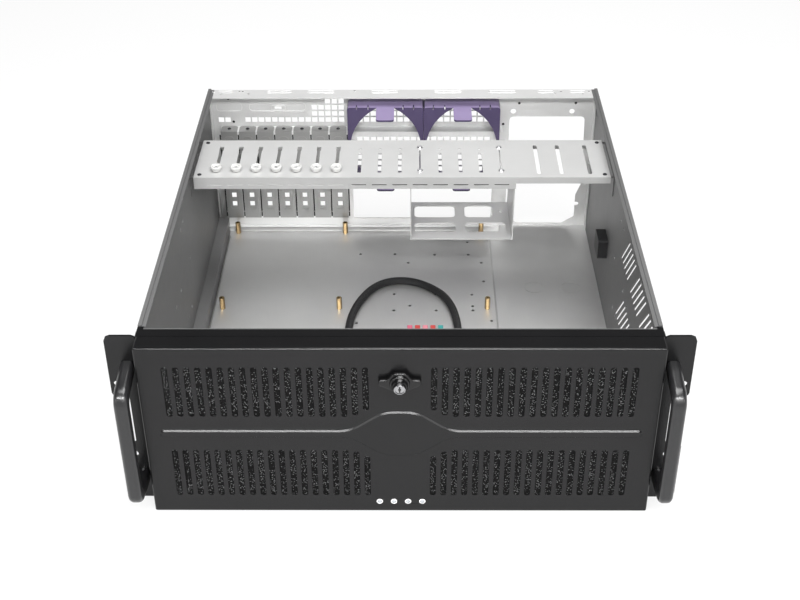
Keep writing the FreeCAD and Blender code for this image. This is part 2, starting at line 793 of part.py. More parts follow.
# ---- black block on the right wall ----
block_thick = 10.0
save("wall_block", plate("side", inner - block_thick, block_thick,
                         rectangle(315.0, 341.0, 61.0, 83.0, "side", 2.0)))


# ---- front panel: black steel with flanges all round, vent fields and the door's hinge lugs ----
panel_top = body_height - sheet
post_width = 5.0
tab_back = panel_back + 2 * cheek_lap
lug_inner = half - 5.5
lug_width = 3.0
lug_radius = 4.0
led_xs = [0.55 + led_pitch * (i - 1.5) for i in range(4)]
led_hole_radius = 1.8
button_z = 40.0
power_x = -14.0
reset_x = 14.0
power_radius = 6.0
reset_radius = 3.5
ear_screw_y = panel_y + 8.0
intake_rise = 15.0       # from mid-height to the near end of an intake
intake_length = 48.0
intake_width = 42.0
intake_pitch = 48.0
intake_columns = 3
tab_margin = 20.0
bearing_sides = 12


def front_panel():
    holes = [drilled(x, led_z, led_hole_radius, "front") for x in led_xs]
    holes += [drilled(x, button_z, r + run_gap, "front", 12)
              for x, r in ((power_x, power_radius), (reset_x, reset_radius))]
    for z in (mid_z - intake_rise - intake_length, mid_z + intake_rise):
        for i in range(intake_columns):
            for x in (-54.0 - intake_pitch * i, 54.0 + intake_pitch * i):
                holes.append(rectangle(x - intake_width / 2, x + intake_width / 2, z, z + intake_length,
                                       "front"))
    face = plate("front", panel_y, panel_sheet, rectangle(-half, half, 0, panel_top, "front"), holes)
    top = box(-half, half, panel_y, panel_y + panel_flange, panel_top - sheet, panel_top)
    bottom = box(-half + wall_foot + lap, half - wall_foot - lap, panel_y, tab_back, 0, sheet)
    parts = [face, top, bottom]
    nose = bend(pivot_y, pivot_z, lug_radius, -90, -270, 6)
    lug_outline = outline([(panel_back, pivot_z - lug_radius), *nose, (panel_back, pivot_z + lug_radius)],
                          "side")
    right = [box(half - cheek_sheet, half, panel_y, cheek_y, 0, panel_top),
             box(half - post_width, half, panel_y, cheek_y, panel_top - sheet, panel_top),
             box(inner - sheet, inner, panel_y, tab_back, tab_margin, body_height - tab_margin),
             plate("side", lug_inner, lug_width, lug_outline)]
    parts += right + [mirrored(s) for s in right]
    pin_bore = (pin_radius + 0.05) / math.cos(math.pi / bearing_sides)
    bores = [pillar(pin_bore, (lug_inner - 1, pivot_y, pivot_z), (1, 0, 0), lug_width + 2, bearing_sides)]
    bores += [pillar(screw_hole, (inner - 3, ear_screw_y, z), (1, 0, 0), 5) for z in ear_screw_z]
    return join(*parts).cut(bores + [mirrored(b) for b in bores])


save("front_panel", front_panel())

strip_y = panel_y + panel_flange
strip_foot = panel_top - stiffener_height
strip_half = half - post_width - lap
stiffener = join(box(-strip_half, strip_half, strip_y, strip_y + sheet, strip_foot, panel_top),
                 box(-strip_half, strip_half, panel_back, strip_y + sheet, strip_foot, strip_foot + sheet))
save("front_stiffener", stiffener)


# ---- ears: waisted plates with rack slots, each with a leg screwed to the front panel's side ----
ear_outer = rack_width / 2
ear_bottom = 1.0
handle_left = half + handle_gap
handle_right = handle_left + handle_width
handle_screw_x = (handle_left + handle_right) / 2
handle_foot_z = handle_height / 2 - handle_thick / 2
handle_screw_z = (mid_z - handle_foot_z, mid_z + handle_foot_z)
handle_screw_length = 10.0


def rack_slots():
    x = rack_hole_spacing_x / 2
    r = rack_hole_width / 2
    return [rectangle(x - rack_hole_length / 2, x + rack_hole_length / 2, z - r, z + r, "front", r, True)
            for z in (mid_z - rack_hole_spacing_z / 2, mid_z + rack_hole_spacing_z / 2)]


def ear():
    waist = ear_outer - ear_waist_depth
    low, high = mid_z - ear_waist_height / 2, mid_z + ear_waist_height / 2
    outer = outline([(half, ear_bottom, 4), (ear_outer, ear_bottom, 5), (ear_outer, low, 3), (waist, low, 3),
                     (waist, high, 3), (ear_outer, high, 3), (ear_outer, panel_top, 5),
                     (half, panel_top, 4)], "front")
    holes = rack_slots() + [drilled(handle_screw_x, z, screw_hole, "front") for z in handle_screw_z]
    face = plate("front", panel_y, ear_sheet, outer, holes)
    leg = box(half, half + ear_sheet, panel_y, cheek_y, ear_bottom + 5.0, panel_top - 5.0)
    return join(face, leg).cut([pillar(screw_hole, (half - 1, ear_screw_y, z), (1, 0, 0), ear_sheet + 2)
                                for z in ear_screw_z])


def handle():
    """Bowed grip in one piece, its arms falling slightly towards the front."""
    top, bottom = mid_z + handle_height / 2, mid_z - handle_height / 2
    t = handle_thick
    profile = outline([(panel_y, top), (handle_front, top - handle_slope, 9),
                       (handle_front, bottom + handle_slope, 9),
                       (panel_y, bottom), (panel_y, bottom + t),
                       (handle_front + t - 1, bottom + t + handle_slope, 5),
                       (handle_front + t - 1, top - t - handle_slope, 5), (panel_y, top - t)], "side")
    body = plate("side", handle_left, handle_width, profile)
    return body.cut([pillar(screw_radius, (handle_screw_x, panel_y, z), (0, -1, 0), handle_screw_length)
                     for z in handle_screw_z])


save("ear_right", ear())
save("ear_left", mirrored(ear()))
save("handle_right", handle())
save("handle_left", mirrored(handle()))
right_ear_screws = [screw((half + ear_sheet, ear_screw_y, z), (-1, 0, 0), 4.5, head_radius=2.6,
                          head_height=1.2)
                    for z in ear_screw_z]
right_handle_screws = [screw((handle_screw_x, panel_y + ear_sheet, z), (0, -1, 0), handle_screw_length)
                       for z in handle_screw_z]
save("ear_screws", *(right_ear_screws + [mirrored(s) for s in right_ear_screws]))
save("handle_screws", *(right_handle_screws + [mirrored(s) for s in right_handle_screws]))


# ---- front door: folded steel tray, vented, with a raised band that swells at the middle ----
door_half = half - door_inset
door_bottom = door_inset
door_top = body_height - door_inset
door_heel = 15.7         # depth of the lower edge, so that it clears the panel as the door turns
door_floor_half = lug_inner - 1.0
lock_bore = 6.0
near_slot_cut = 7.0
next_slot_cut = 1.8
band_centre_x = 0.7
band_middle = mid_z
crest_shoulder = 14.0
crest_radius = 30.0


def door_slots():
    holes = []
    for i in range(air_slot_count):
        cut = near_slot_cut if i == 0 else next_slot_cut if i == 1 else 0.0
        near = air_slot_rise + cut + air_slot_width / 2
        far = air_slot_rise + air_slot_length - air_slot_width / 2
        for side in (-1, 1):
            x = side * (air_slot_first + air_slot_pitch * i)
            holes.append(slot((x, mid_z + near), (x, mid_z + far), air_slot_width, "front"))
            holes.append(slot((x, mid_z - far), (x, mid_z - near), air_slot_width, "front"))
    return holes


def band_outline():
    x0, x1 = band_centre_x - band_length / 2, band_centre_x + band_length / 2
    z0, z1 = band_middle - band_height / 2, band_middle + band_height / 2
    r = band_height / 2
    up, down = z1 + crest_rise, z0 - crest_rise
    return outline([(x0, z0, r), (-crest_half, z0, crest_radius), (-crest_shoulder, down, crest_radius),
                    (crest_shoulder, down, crest_radius), (crest_half, z0, crest_radius), (x1, z0, r),
                    (x1, z1, r),
                    (crest_half, z1, crest_radius), (crest_shoulder, up, crest_radius),
                    (-crest_shoulder, up, crest_radius), (-crest_half, z1, crest_radius), (x0, z1, r)],
                    "front")


def front_door():
    holes = door_slots() + [drilled(0, lock_z, lock_bore / math.cos(math.pi / 16), "front", 16)]
    holes += [drilled(x, led_z, window_radius, "front", 8) for x in led_xs]
    face = plate("front", 0, door_sheet, rectangle(-door_half, door_half, door_bottom, door_top, "front"),
                 holes)
    band = plate("front", -band_raise, band_raise, band_outline())
    side_outline = outline([(0, door_bottom), (door_heel, door_bottom), (door_depth, pivot_z),
                            (door_depth, door_top),
                            (0, door_top)], "side")
    pin_hole = drilled(pivot_y, pivot_z, pin_radius, "side", bearing_sides)
    right = plate("side", door_half - door_sheet, door_sheet, side_outline, [pin_hole])
    top = box(-door_half, door_half, 0, door_depth, door_top - door_sheet, door_top)
    bottom = box(-door_floor_half, door_floor_half, 0, door_heel, door_bottom, door_bottom + door_sheet)
    return join(face, band, right, mirrored(right), top, bottom)


save("front_door", front_door())
right_pin = pillar(pin_radius, (lug_inner - 1.5, pivot_y, pivot_z), (1, 0, 0), door_half - lug_inner + 1.5,
                   bearing_sides)
save("hinge_pins", right_pin, mirrored(right_pin))

filter_near = air_slot_first - 6.0
filter_far = door_half - door_sheet - 8.0
filter_back = door_sheet + filter_thick
upper_pad = (mid_z + air_slot_rise - 5.0, mid_z + air_slot_rise + air_slot_length + 5.0)
lower_pad = (2 * mid_z - upper_pad[1], 2 * mid_z - upper_pad[0])
right_pads = [box(filter_near, filter_far, door_sheet, filter_back, z0, z1)
              for z0, z1 in (upper_pad, lower_pad)]
save("filters_right", *right_pads)
save("filters_left", *[mirrored(p) for p in right_pads])
save("light_pipes", *[pillar(window_radius, (x, -0.4, led_z), (0, 1, 0), 15.0, 8) for x in led_xs])


# ---- lock: wing knob turning in the door, key barrel in its middle, cam and nut behind ----
knob_gap = 0.6
wing_thick = 4.5
hub_radius = 7.0
barrel_radius = 4.8
barrel_front = -14.0
cam_y = 8.0
cam_thick = 2.0


def lock_knob():
    z = lock_z
    wing = outline([(-17.5, z - 2.2, 2), (-7, z - 8.5, 5), (7, z - 8.5, 5), (17.5, z - 2.2, 2),
                    (17.5, z + 2.2, 2),
                    (7, z + 9, 5), (-7, z + 9, 5), (-17.5, z + 2.2, 2)], "front")
    wings = plate("front", -knob_gap - wing_thick, wing_thick, wing)
    hub = pillar(hub_radius, (0, -11.0, z), (0, 1, 0), 11.0 - knob_gap, 16)
    shaft = pillar(lock_bore - 0.05, (0, -knob_gap, z), (0, 1, 0), cam_y + knob_gap, 16)
    stud = pillar(2.5, (0, cam_y, z), (0, 1, 0), cam_thick)
    return join(wings, hub, shaft, stud).cut(pillar(barrel_radius, (0, barrel_front, z), (0, 1, 0), 12.0,
                                                    16))


save("lock_knob", lock_knob())
save("key_barrel", pillar(barrel_radius, (0, barrel_front, lock_z), (0, 1, 0), 12.0, 16)
     .cut(box(-0.6, 0.6, barrel_front - 1, barrel_front + 1.5, lock_z - 3, lock_z + 3)))
save("lock_cam", plate("front", cam_y, cam_thick, rectangle(-7, 22, lock_z - 7, lock_z + 7, "front", 3.0),
                       [drilled(0, lock_z, 2.5, "front")]))
save("cam_nut", pillar(6.0, (0, cam_y + cam_thick, lock_z), (0, 1, 0), 3.0))


# ---- buttons behind the door, their switches and lamps on a small board ----
button_front = panel_y - 4.0
button_back = panel_back + 4.5
button_travel = 2.0
switch_front = button_back + button_travel + run_gap
board_front = switch_front + 4.7
board_thick = 1.6
board_half = 45.0
board_bottom = 6.0
board_top = 56.0
spacer_radius = 2.4


def button(x, radius):
    cap = pillar(radius, (x, button_front, button_z), (0, 1, 0), button_back - button_front, 12)
    rim = pillar(radius + 1.6, (x, panel_back + run_gap, button_z), (0, 1, 0), 1.2, 12)
    return join(cap, rim)


save("power_button", button(power_x, power_radius))
save("reset_button", button(reset_x, reset_radius))
save("front_board", box(-board_half, board_half, board_front, board_front + board_thick, board_bottom,
                        board_top))
save("switches", *[box(x - 6, x + 6, switch_front, board_front, button_z - 6,
                       button_z + 6) for x in (power_x, reset_x)])
save("front_leds", *[pillar(1.5, (x, panel_back + 0.5, led_z), (0, 1, 0),
                            board_front - panel_back - 0.5) for x in led_xs])
save("board_spacers", *[pillar(spacer_radius, (x, panel_back, z), (0, 1, 0), board_front - panel_back)
                        for x in (-board_half + 5, board_half - 5) for z in (board_bottom + 5,
                                                                             board_top - 5)])


# ---- front cable: sleeved lead on the floor, from the board's plug to a row of small plugs ----
cable_radius = 4.0
cable_rest = platform_top + cable_radius + 0.1
board_back_y = board_front + board_thick
plug_depth = 12.0
plug_back = board_back_y + plug_depth
cable_x = -30.0
cable_z = 30.0
comb_back = 250.0
comb_x = 58.0
cable_points = ((cable_x, plug_back, cable_z), (cable_x, 92.0, cable_z), (-38.0, 140.0, 16.0),
                (-50.0, 190.0, cable_rest), (-57.0, 245.0, cable_rest), (-52.0, 300.0, cable_rest),
                (-26.0, 350.0, cable_rest), (18.0, 352.0, cable_rest), (comb_x, 308.0, cable_rest),
                (comb_x, comb_back, cable_rest))
plug_xs = (8.0, 16.0, 24.0, 32.0, 40.0)


def lead(points, radius):
    """Lead along straight runs joined by tangent arcs, its round section drawn as an octagon of the same area.
    Prints each arc's radius."""
    stops = [Vector(*p) for p in points]
    edges = []
    here = stops[0]
    for before, corner, after in zip(stops, stops[1:], stops[2:]):
        into, out = corner - before, after - corner
        turn = into.getAngle(out)
        reach = 0.45 * min(into.Length, out.Length)
        bend = reach / math.tan(turn / 2)
        print("bend radius %.1f" % bend)
        into.normalize()
        out.normalize()
        bisector = out - into
        bisector.normalize()
        start, end = corner - into * reach, corner + out * reach
        middle = corner + bisector * (bend / math.cos(turn / 2) - bend)
        edges.append(Part.LineSegment(here, start).toShape())
        edges.append(Part.Arc(start, middle, end).toShape())
        here = end
    edges.append(Part.LineSegment(here, stops[-1]).toShape())
    sides = 8
    turn = 2 * math.pi / sides
    corner_radius = radius * math.sqrt(2 * math.pi / (sides * math.sin(turn)))
    profile = outline([(stops[0].x + corner_radius * math.cos((i + 0.5) * turn),
                        stops[0].z + corner_radius * math.sin((i + 0.5) * turn)) for i in range(sides)],
                        "front")
    profile.translate(Vector(0, stops[0].y, 0))
    tube = Part.Wire(edges).makePipeShell([profile], True, False)
    section_times_length = math.pi * radius ** 2 * sum(e.Length for e in edges)
    print("volume over section times length %.3f" % (tube.Volume / section_times_length))
    return tube


save("front_cable", lead(cable_points, cable_radius))
save("board_plug", box(cable_x - 9, cable_x + 9, board_back_y, plug_back, cable_z - 6, cable_z + 6))
save("cable_comb", box(plug_xs[0] - 5, comb_x + 6, comb_back - 12, comb_back, platform_top,
                       cable_rest + cable_radius))
save("front_plugs", *[box(x - 2.7, x + 2.7, comb_back, comb_back + 17, platform_top, platform_top + 4.5)
                      for x in plug_xs])
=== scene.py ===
import math

import bmesh
import bpy
from mathutils import Matrix, Vector, noise


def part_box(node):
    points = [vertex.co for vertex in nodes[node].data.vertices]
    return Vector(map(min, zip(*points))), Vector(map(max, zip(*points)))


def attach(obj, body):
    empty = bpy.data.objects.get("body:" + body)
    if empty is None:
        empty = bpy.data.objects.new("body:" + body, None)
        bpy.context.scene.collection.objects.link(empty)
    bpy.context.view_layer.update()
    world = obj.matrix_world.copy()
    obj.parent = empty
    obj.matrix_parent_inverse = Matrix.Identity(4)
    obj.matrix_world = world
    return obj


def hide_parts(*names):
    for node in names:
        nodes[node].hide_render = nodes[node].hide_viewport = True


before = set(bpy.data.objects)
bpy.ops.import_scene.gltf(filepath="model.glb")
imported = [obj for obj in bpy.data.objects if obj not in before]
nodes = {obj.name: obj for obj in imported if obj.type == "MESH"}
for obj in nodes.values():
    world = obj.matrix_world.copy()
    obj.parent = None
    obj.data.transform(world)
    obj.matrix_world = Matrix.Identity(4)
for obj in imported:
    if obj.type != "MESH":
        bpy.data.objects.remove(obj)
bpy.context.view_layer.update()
mm = 0.001
door_depth = 17.5
face_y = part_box("front_door")[1][1] - door_depth * mm   # plane of the door's face


def place(x, y, z):
    """Millimetres from the case's middle, the door's face and the table, as a point of the frame."""
    return Vector((x * mm, face_y + y * mm, z * mm))


# ---- Camera ----
# A long lens in front of the case and above it, looking down over the door into the open tub.
# It stands a little right of the middle and is rolled by a fraction of a degree.
view_spot = place(8.8, -833.6, 792.2)
view_yaw, view_pitch, view_roll = math.radians(-0.566), math.radians(34.283), math.radians(-0.315)
camera_data = bpy.data.cameras.new("camera")
camera_data.lens = 58.39
camera_data.sensor_width = 36.0
camera_data.clip_end = 50
camera = bpy.data.objects.new("camera", camera_data)
camera.matrix_world = (Matrix.Translation(view_spot) @ Matrix.Rotation(-view_yaw, 4, "Z")
                       @ Matrix.Rotation(math.pi / 2 - view_pitch, 4, "X")
                       @ Matrix.Rotation(view_roll, 4, "Z"))
bpy.context.scene.collection.objects.link(camera)
bpy.context.scene.camera = camera


# ---- Front cable ----
# Sleeved lead from the small board behind the front, lying on the floor in one loose loop.
# The sleeve is braided black polyester over the bundle.
class Signal:
    """A shader value that takes part in sums; each operator adds its Math node."""

    def __init__(self, tree, socket):
        self.tree, self.socket = tree, socket

    def _sum(self, operation, first, second):
        node = self.tree.nodes.new("ShaderNodeMath")
        node.operation = operation
        for socket, value in zip(node.inputs, (first, second)):
            if isinstance(value, Signal):
                self.tree.links.new(value.socket, socket)
            else:
                socket.default_value = value
        return Signal(self.tree, node.outputs[0])

    def __add__(self, other):
        return self._sum("ADD", self, other)

    def __radd__(self, other):
        return self._sum("ADD", other, self)

    def __sub__(self, other):
        return self._sum("SUBTRACT", self, other)

    def __rsub__(self, other):
        return self._sum("SUBTRACT", other, self)

    def __mul__(self, other):
        return self._sum("MULTIPLY", self, other)

    def __rmul__(self, other):
        return self._sum("MULTIPLY", other, self)


class Wiring:
    """A tree of shader nodes that node() adds to."""

    def __init__(self, tree):
        self.tree = tree

    def node(self, kind, settings=None, output=0, **sockets):
        """Adds a node: its settings first, then values or links for its sockets, by name."""
        node = self.tree.nodes.new("ShaderNode" + kind)
        for name, value in (settings or {}).items():
            if name == "stops":
                ramp = node.color_ramp
                while len(ramp.elements) < len(value):
                    ramp.elements.new(0.5)
                for element, (position, colour) in zip(ramp.elements, value):
                    element.position, element.color = position, (*colour, 1)
            else:
                setattr(node, name, value)
        self.fill(node, sockets)
        return Signal(self.tree, node.outputs[output])

    def fill(self, node, sockets):
        """Sets or links a node's sockets by name; a list goes to sockets that share the name."""
        for name, given in sockets.items():
            found = [s for s in node.inputs if s.name == name.replace("_", " ") and s.enabled]
            for socket, value in zip(found, given if isinstance(given, list) else [given]):
                if isinstance(value, Signal):
                    self.tree.links.new(value.socket, socket)
                else:
                    socket.default_value = (*value, 1) if socket.type == "RGBA" else value


class Finish(Wiring):
    """A material in the making: grain() and blend() make its signals, coat() fills in its surface."""

    def __init__(self, name):
        self.material = bpy.data.materials.new(name)
        self.material.use_nodes = True
        super().__init__(self.material.node_tree)
        self.surface = self.tree.nodes["Principled BSDF"]

    def grain(self, size, stretch=(1, 1, 1), detail=2.0, roughness=0.5):
        """Even noise of a given size in metres over the piece, from 0 to 1."""
        scaled = self.node("Mapping", Vector=self.node("TexCoord", output=3),
                           Scale=tuple(s / size for s in stretch))
        return self.node("TexNoise", Vector=scaled, Scale=1.0, Detail=detail, Roughness=roughness)

    def blend(self, factor, first, second):
        """A colour between two, by a signal from 0 to 1."""
        return self.node("Mix", {"data_type": "RGBA"}, 2, Factor=factor, A=first, B=second)

    def bump(self, height, strength, distance):
        """A normal bent by a height signal; the distance is in metres."""
        return self.node("Bump", Height=height, Strength=strength, Distance=distance)

    def coat(self, **sockets):
        """Fills in the surface and gives the finished material."""
        self.fill(self.surface, sockets)
        return self.material


sleeve = Finish("braided_sleeve")
braid_place = sleeve.node("TexCoord", output=3)
braid_one = sleeve.node("TexWave", {"bands_direction": "DIAGONAL"}, 1, Vector=braid_place, Scale=420.0)
braid_two = sleeve.grain(0.0012)
sleeve_height = braid_one * 0.7 + braid_two * 0.3
sleeve_tone = sleeve.blend(sleeve_height, (0.003, 0.003, 0.0035), (0.018, 0.018, 0.019))
sleeve_skin = sleeve.coat(Base_Color=sleeve_tone, Roughness=0.6, Specular_IOR_Level=0.3,
                          Normal=sleeve.bump(sleeve_height, 0.5, 0.0006))

cable_radius = 4.0
cable_rest = 10.1       # height of its middle where it lies on the floor
cable_points = ((-30.0, 45.9, 30.0), (-30.0, 92.0, 30.0), (-38.0, 140.0, 16.0), (-50.0, 190.0, cable_rest),
                (-57.0, 245.0, cable_rest), (-52.0, 300.0, cable_rest), (-26.0, 350.0, cable_rest),
                (18.0, 352.0, cable_rest), (58.0, 308.0, cable_rest), (58.0, 250.0, cable_rest))
cable_curve = bpy.data.curves.new("front_cable", "CURVE")
cable_curve.dimensions = "3D"
cable_curve.bevel_depth = cable_radius * mm
cable_curve.bevel_resolution = 8
cable_curve.use_fill_caps = True
cable_line = cable_curve.splines.new("NURBS")
cable_line.points.add(len(cable_points) - 1)
for point, corner in zip(cable_line.points, cable_points):
    point.co = (*place(*corner), 1)
cable_line.order_u = 3
cable_line.use_endpoint_u = True
cable_line.resolution_u = 16
cable = bpy.data.objects.new("front_cable_sleeve", cable_curve)
bpy.context.scene.collection.objects.link(cable)
cable_curve.materials.append(sleeve_skin)
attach(cable, "chassis")
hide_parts("front_cable")


# ---- Folded steel chassis ----
# Floor pan, side walls and rail: galvanised sheet, pressed and folded, so it carries a fine
# rolled grain, faint zinc clouding and softly broken edges.
def steel_finish(name, colour, stretch, rough, metal=0.85):
    """Zinc coated sheet; the stretch draws its grain out along the way it was rolled."""
    steel = Finish(name)
    cloud = steel.grain(0.11, detail=3.0)
    rolled = steel.grain(0.0012, stretch, detail=3.0, roughness=0.6)
    scuff = steel.grain(0.014, detail=6.0, roughness=0.7)
    shade = cloud * 0.55 + scuff * 0.27 + rolled * 0.18
    dark = tuple(c * 0.84 for c in colour)
    light = tuple(min(1.0, c * 1.12) for c in colour)
    return steel.coat(Base_Color=steel.blend(shade, dark, light), Metallic=metal,
                      Roughness=rough - 0.08 + 0.12 * scuff + 0.06 * rolled,
                      Normal=steel.bump(rolled * 0.6 + scuff * 0.4, 0.10, 0.0002))


def softened(piece, width, segments=2):
    """Breaks a piece's sharp edges, as folding, moulding or tumbling leaves them."""
    edge = piece.modifiers.new("soft_edges", "BEVEL")
    edge.width = width * mm
    edge.segments = segments
    edge.limit_method = "ANGLE"
    edge.angle_limit = math.radians(40)
    return piece


def refinish(finish, *names):
    """Gives carried-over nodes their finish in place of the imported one."""
    for name in names:
        piece = nodes[name]
        piece.data.materials.clear()
        piece.data.materials.append(finish)


floor_steel = steel_finish("floor_sheet", (0.62, 0.62, 0.615), (1, 0.05, 1), 0.42)
# The walls, rail, beam brackets and stiffener get a far darker copy of the same galvanised sheet: painted
# shade.
wall_steel_painted_shade = steel_finish("wall_sheet_painted_shade", (0.16, 0.16, 0.16), (1, 0.05, 1), 0.48, 0.50)
wall_names = ("left_side_wall", "right_side_wall", "left_floor_rail", "beam_bracket_left",
              "beam_bracket_right", "front_stiffener")
refinish(floor_steel, "floor_pan")
refinish(wall_steel_painted_shade, *wall_names)
for name in (*wall_names, "floor_pan"):
    softened(nodes[name], 0.25)


# ---- Rear panel ----
# The back of the case, punched for vents, slots and power supply, with pressed stiffening outlines
# round the cable slot, pressed ovals along its top flange and small burred holes between them.
def rounded(corners, steps=8):
    """Points of a closed outline whose corners (u, v, radius) are rounded by true arcs."""
    points = []
    for i, corner in enumerate(corners):
        here = Vector(corner[:2])
        radius = corner[2] if len(corner) > 2 else 0
        if not radius:
            points.append(here)
            continue
        before = (Vector(corners[i - 1][:2]) - here).normalized()
        after = (Vector(corners[(i + 1) % len(corners)][:2]) - here).normalized()
        half_angle = before.angle(after) / 2
        centre = here + (before + after).normalized() * radius / math.sin(half_angle)
        start = here + before * radius / math.tan(half_angle) - centre
        end = here + after * radius / math.tan(half_angle) - centre
        first = math.atan2(start.y, start.x)
        turn = (math.atan2(end.y, end.x) - first + math.pi) % (2 * math.pi) - math.pi
        angles = [first + turn * k / steps for k in range(steps + 1)]
        points += [centre + Vector((math.cos(a), math.sin(a))) * radius for a in angles]
    return points


def oblong(u0, u1, v0, v1, radius, steps=8):
    """The outline of a rectangle with rounded corners."""
    return rounded([(u0, v0, radius), (u1, v0, radius), (u1, v1, radius), (u0, v1, radius)], steps)


def on_front(y):
    """From a drawing in X and Z to the plane at depth y; the drawing's height comes forward."""
    return Matrix(((mm, 0, 0, 0), (0, 0, -mm, face_y + y * mm), (0, mm, 0, 0), (0, 0, 0, 1)))


def on_floor(z):
    """From a drawing in X and Y to the plane at height z."""
    return Matrix(((mm, 0, 0, 0), (0, mm, 0, face_y), (0, 0, mm, z * mm), (0, 0, 0, 1)))


def on_side(x):
    """From a drawing in Y and Z to the plane at x."""
    return Matrix(((0, 0, mm, x * mm), (mm, 0, 0, face_y), (0, mm, 0, 0), (0, 0, 0, 1)))


def drawn(loops, into, filled=True, **settings):
    """Mesh of a 2D drawing in millimetres: cut from plate when filled, else a bead along its lines."""
    drawing = bpy.data.curves.new("drawing", "CURVE")
    drawing.dimensions = "2D" if filled else "3D"
    drawing.fill_mode = "BOTH" if filled else "FULL"
    for setting, value in settings.items():
        setattr(drawing, setting, value)
    for loop in loops:
        line = drawing.splines.new("POLY")
        line.points.add(len(loop) - 1)
        for point, corner in zip(line.points, loop):
            point.co = (corner[0], corner[1], 0, 1)
        line.use_cyclic_u = True
    holder = bpy.data.objects.new("drawing", drawing)
    mesh = bpy.data.meshes.new_from_object(holder)
    bpy.data.objects.remove(holder)
    mesh.transform(into)
    mesh.shade_smooth()
    mesh.set_sharp_from_angle(angle=math.radians(35))
    return mesh


def own(name, mesh, finish, body, slot, *replaced):
    """A piece of the scene from a mesh or several, with its finish, riding on a body."""
    if isinstance(mesh, list):
        whole = bmesh.new()
        for part in mesh:
            whole.from_mesh(part)
        mesh = bpy.data.meshes.new(name)
        whole.to_mesh(mesh)
        whole.free()
    mesh.materials.clear()
    mesh.materials.append(finish)
    piece = bpy.data.objects.new(name, mesh)
    bpy.context.scene.collection.objects.link(piece)
    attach(piece, body)
    if replaced:
        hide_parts(*replaced)
    return piece


def turned(rings, count, into, fluted=False, flute=0.0, fluted_from=4.9):
    """Mesh turned from (radius, height) rings about the drawing's height, its rim fluted where asked."""
    bm = bmesh.new()
    loops = []
    for radius, height in rings:
        if radius == 0:
            loops.append([bm.verts.new((0, 0, height))])
            continue
        loop = []
        for i in range(count):
            turn = 2 * math.pi * i / count
            r = radius - (flute if fluted and radius > fluted_from and i % 2 else 0)
            loop.append(bm.verts.new((r * math.cos(turn), r * math.sin(turn), height)))
        loops.append(loop)
    for below, above in zip(loops, loops[1:]):
        for i in range(count):
            j = (i + 1) % count
            corners = [below[i % len(below)], below[j % len(below)],
                       above[j % len(above)], above[i % len(above)]]
            face = list(dict.fromkeys(corners))
            if len(face) > 2:
                bm.faces.new(face)
    bmesh.ops.recalc_face_normals(bm, faces=bm.faces)
    mesh = bpy.data.meshes.new("turned")
    bm.to_mesh(mesh)
    bm.free()
    mesh.transform(into)
    mesh.shade_smooth()
    mesh.set_sharp_from_angle(angle=math.radians(38))   # folds sharper than this stay crisp
    return mesh


def at(into, u, v):
    """The same plane, with its drawing moved to (u, v)."""
    return into @ Matrix.Translation((u, v, 0))


rear_steel = steel_finish("rear_sheet", (0.70, 0.70, 0.695), (1, 1, 0.05), 0.42, 0.50)
refinish(rear_steel, "rear_panel")
softened(nodes["rear_panel"], 0.22)
rear_wall_y = 483.0
rear_flange_z = 175.7
pressings = [oblong(-208.3, -180.0, 150.2, 160.6, 4), oblong(-171.7, -108.5, 150.2, 160.6, 5),
             oblong(-147.0, -131.4, 151.3, 157.2, 2)]
pressed_wall = drawn(pressings, on_front(rear_wall_y + 0.15), False, bevel_depth=0.55, bevel_resolution=2)
ovals = [oblong(x0, x1, 476.0, 481.0, 2.4)
         for x0, x1 in ((-203.0, -187.0), (-150.0, -122.0), (-105.0, -75.0), (-35.0, -5.0), (35.0, 65.0),
                        (95.0, 125.0), (149.0, 167.0), (184.7, 201.0))]
pressed_flange = drawn(ovals, on_floor(rear_flange_z - 0.15), False, bevel_depth=0.5, bevel_resolution=2)
burr_places = ((-208.5, 478.7), (-180.4, 479.5), (-176.6, 479.5), (-53.0, 480.5), (174.6, 478.2),
               (205.2, 478.6))
burr_rings = [(1.1, -0.2), (1.25, 0.22), (1.7, 0.2), (2.0, -0.2)]
burrs = [turned(burr_rings, 20, at(on_floor(rear_flange_z), x, y))
         for x, y in burr_places]
own("rear_pressings", [pressed_wall, pressed_flange, *burrs], rear_steel, "chassis", "bare_steel")

# Near-black finish that paints shade into holes, slits and gaps; its faint grain only varies the painted
# shade.
shade_paint = Finish("painted_hole_shade")
shade_grain = shade_paint.grain(0.002)
shade_tone = shade_paint.blend(shade_grain, (0.008, 0.008, 0.008), (0.02, 0.02, 0.02))
painted_shade_skin = shade_paint.coat(Base_Color=shade_tone, Roughness=0.9)
# Dark discs closing the small holes of the rear panel: painted shade where they look into shadow.
hole_shade_discs = [turned([(0, 0.05), (0.8, 0.06), (1.12, 0.02)], 20, at(on_floor(rear_flange_z), x, y))
                for x, y in burr_places]
hole_shade_discs += [turned([(0, 0.3), (1.0, 0.3), (1.5, 0.0)], 20, at(on_front(rear_wall_y), x, z))
                 for x, z in ((129.7, 159.6), (192.5, 159.7), (112.8, 133.9), (-189.9, 137.2),
                              (-194.0, 165.5))]
own("rear_hole_painted_shade", hole_shade_discs, painted_shade_skin, "chassis", "bare_steel")
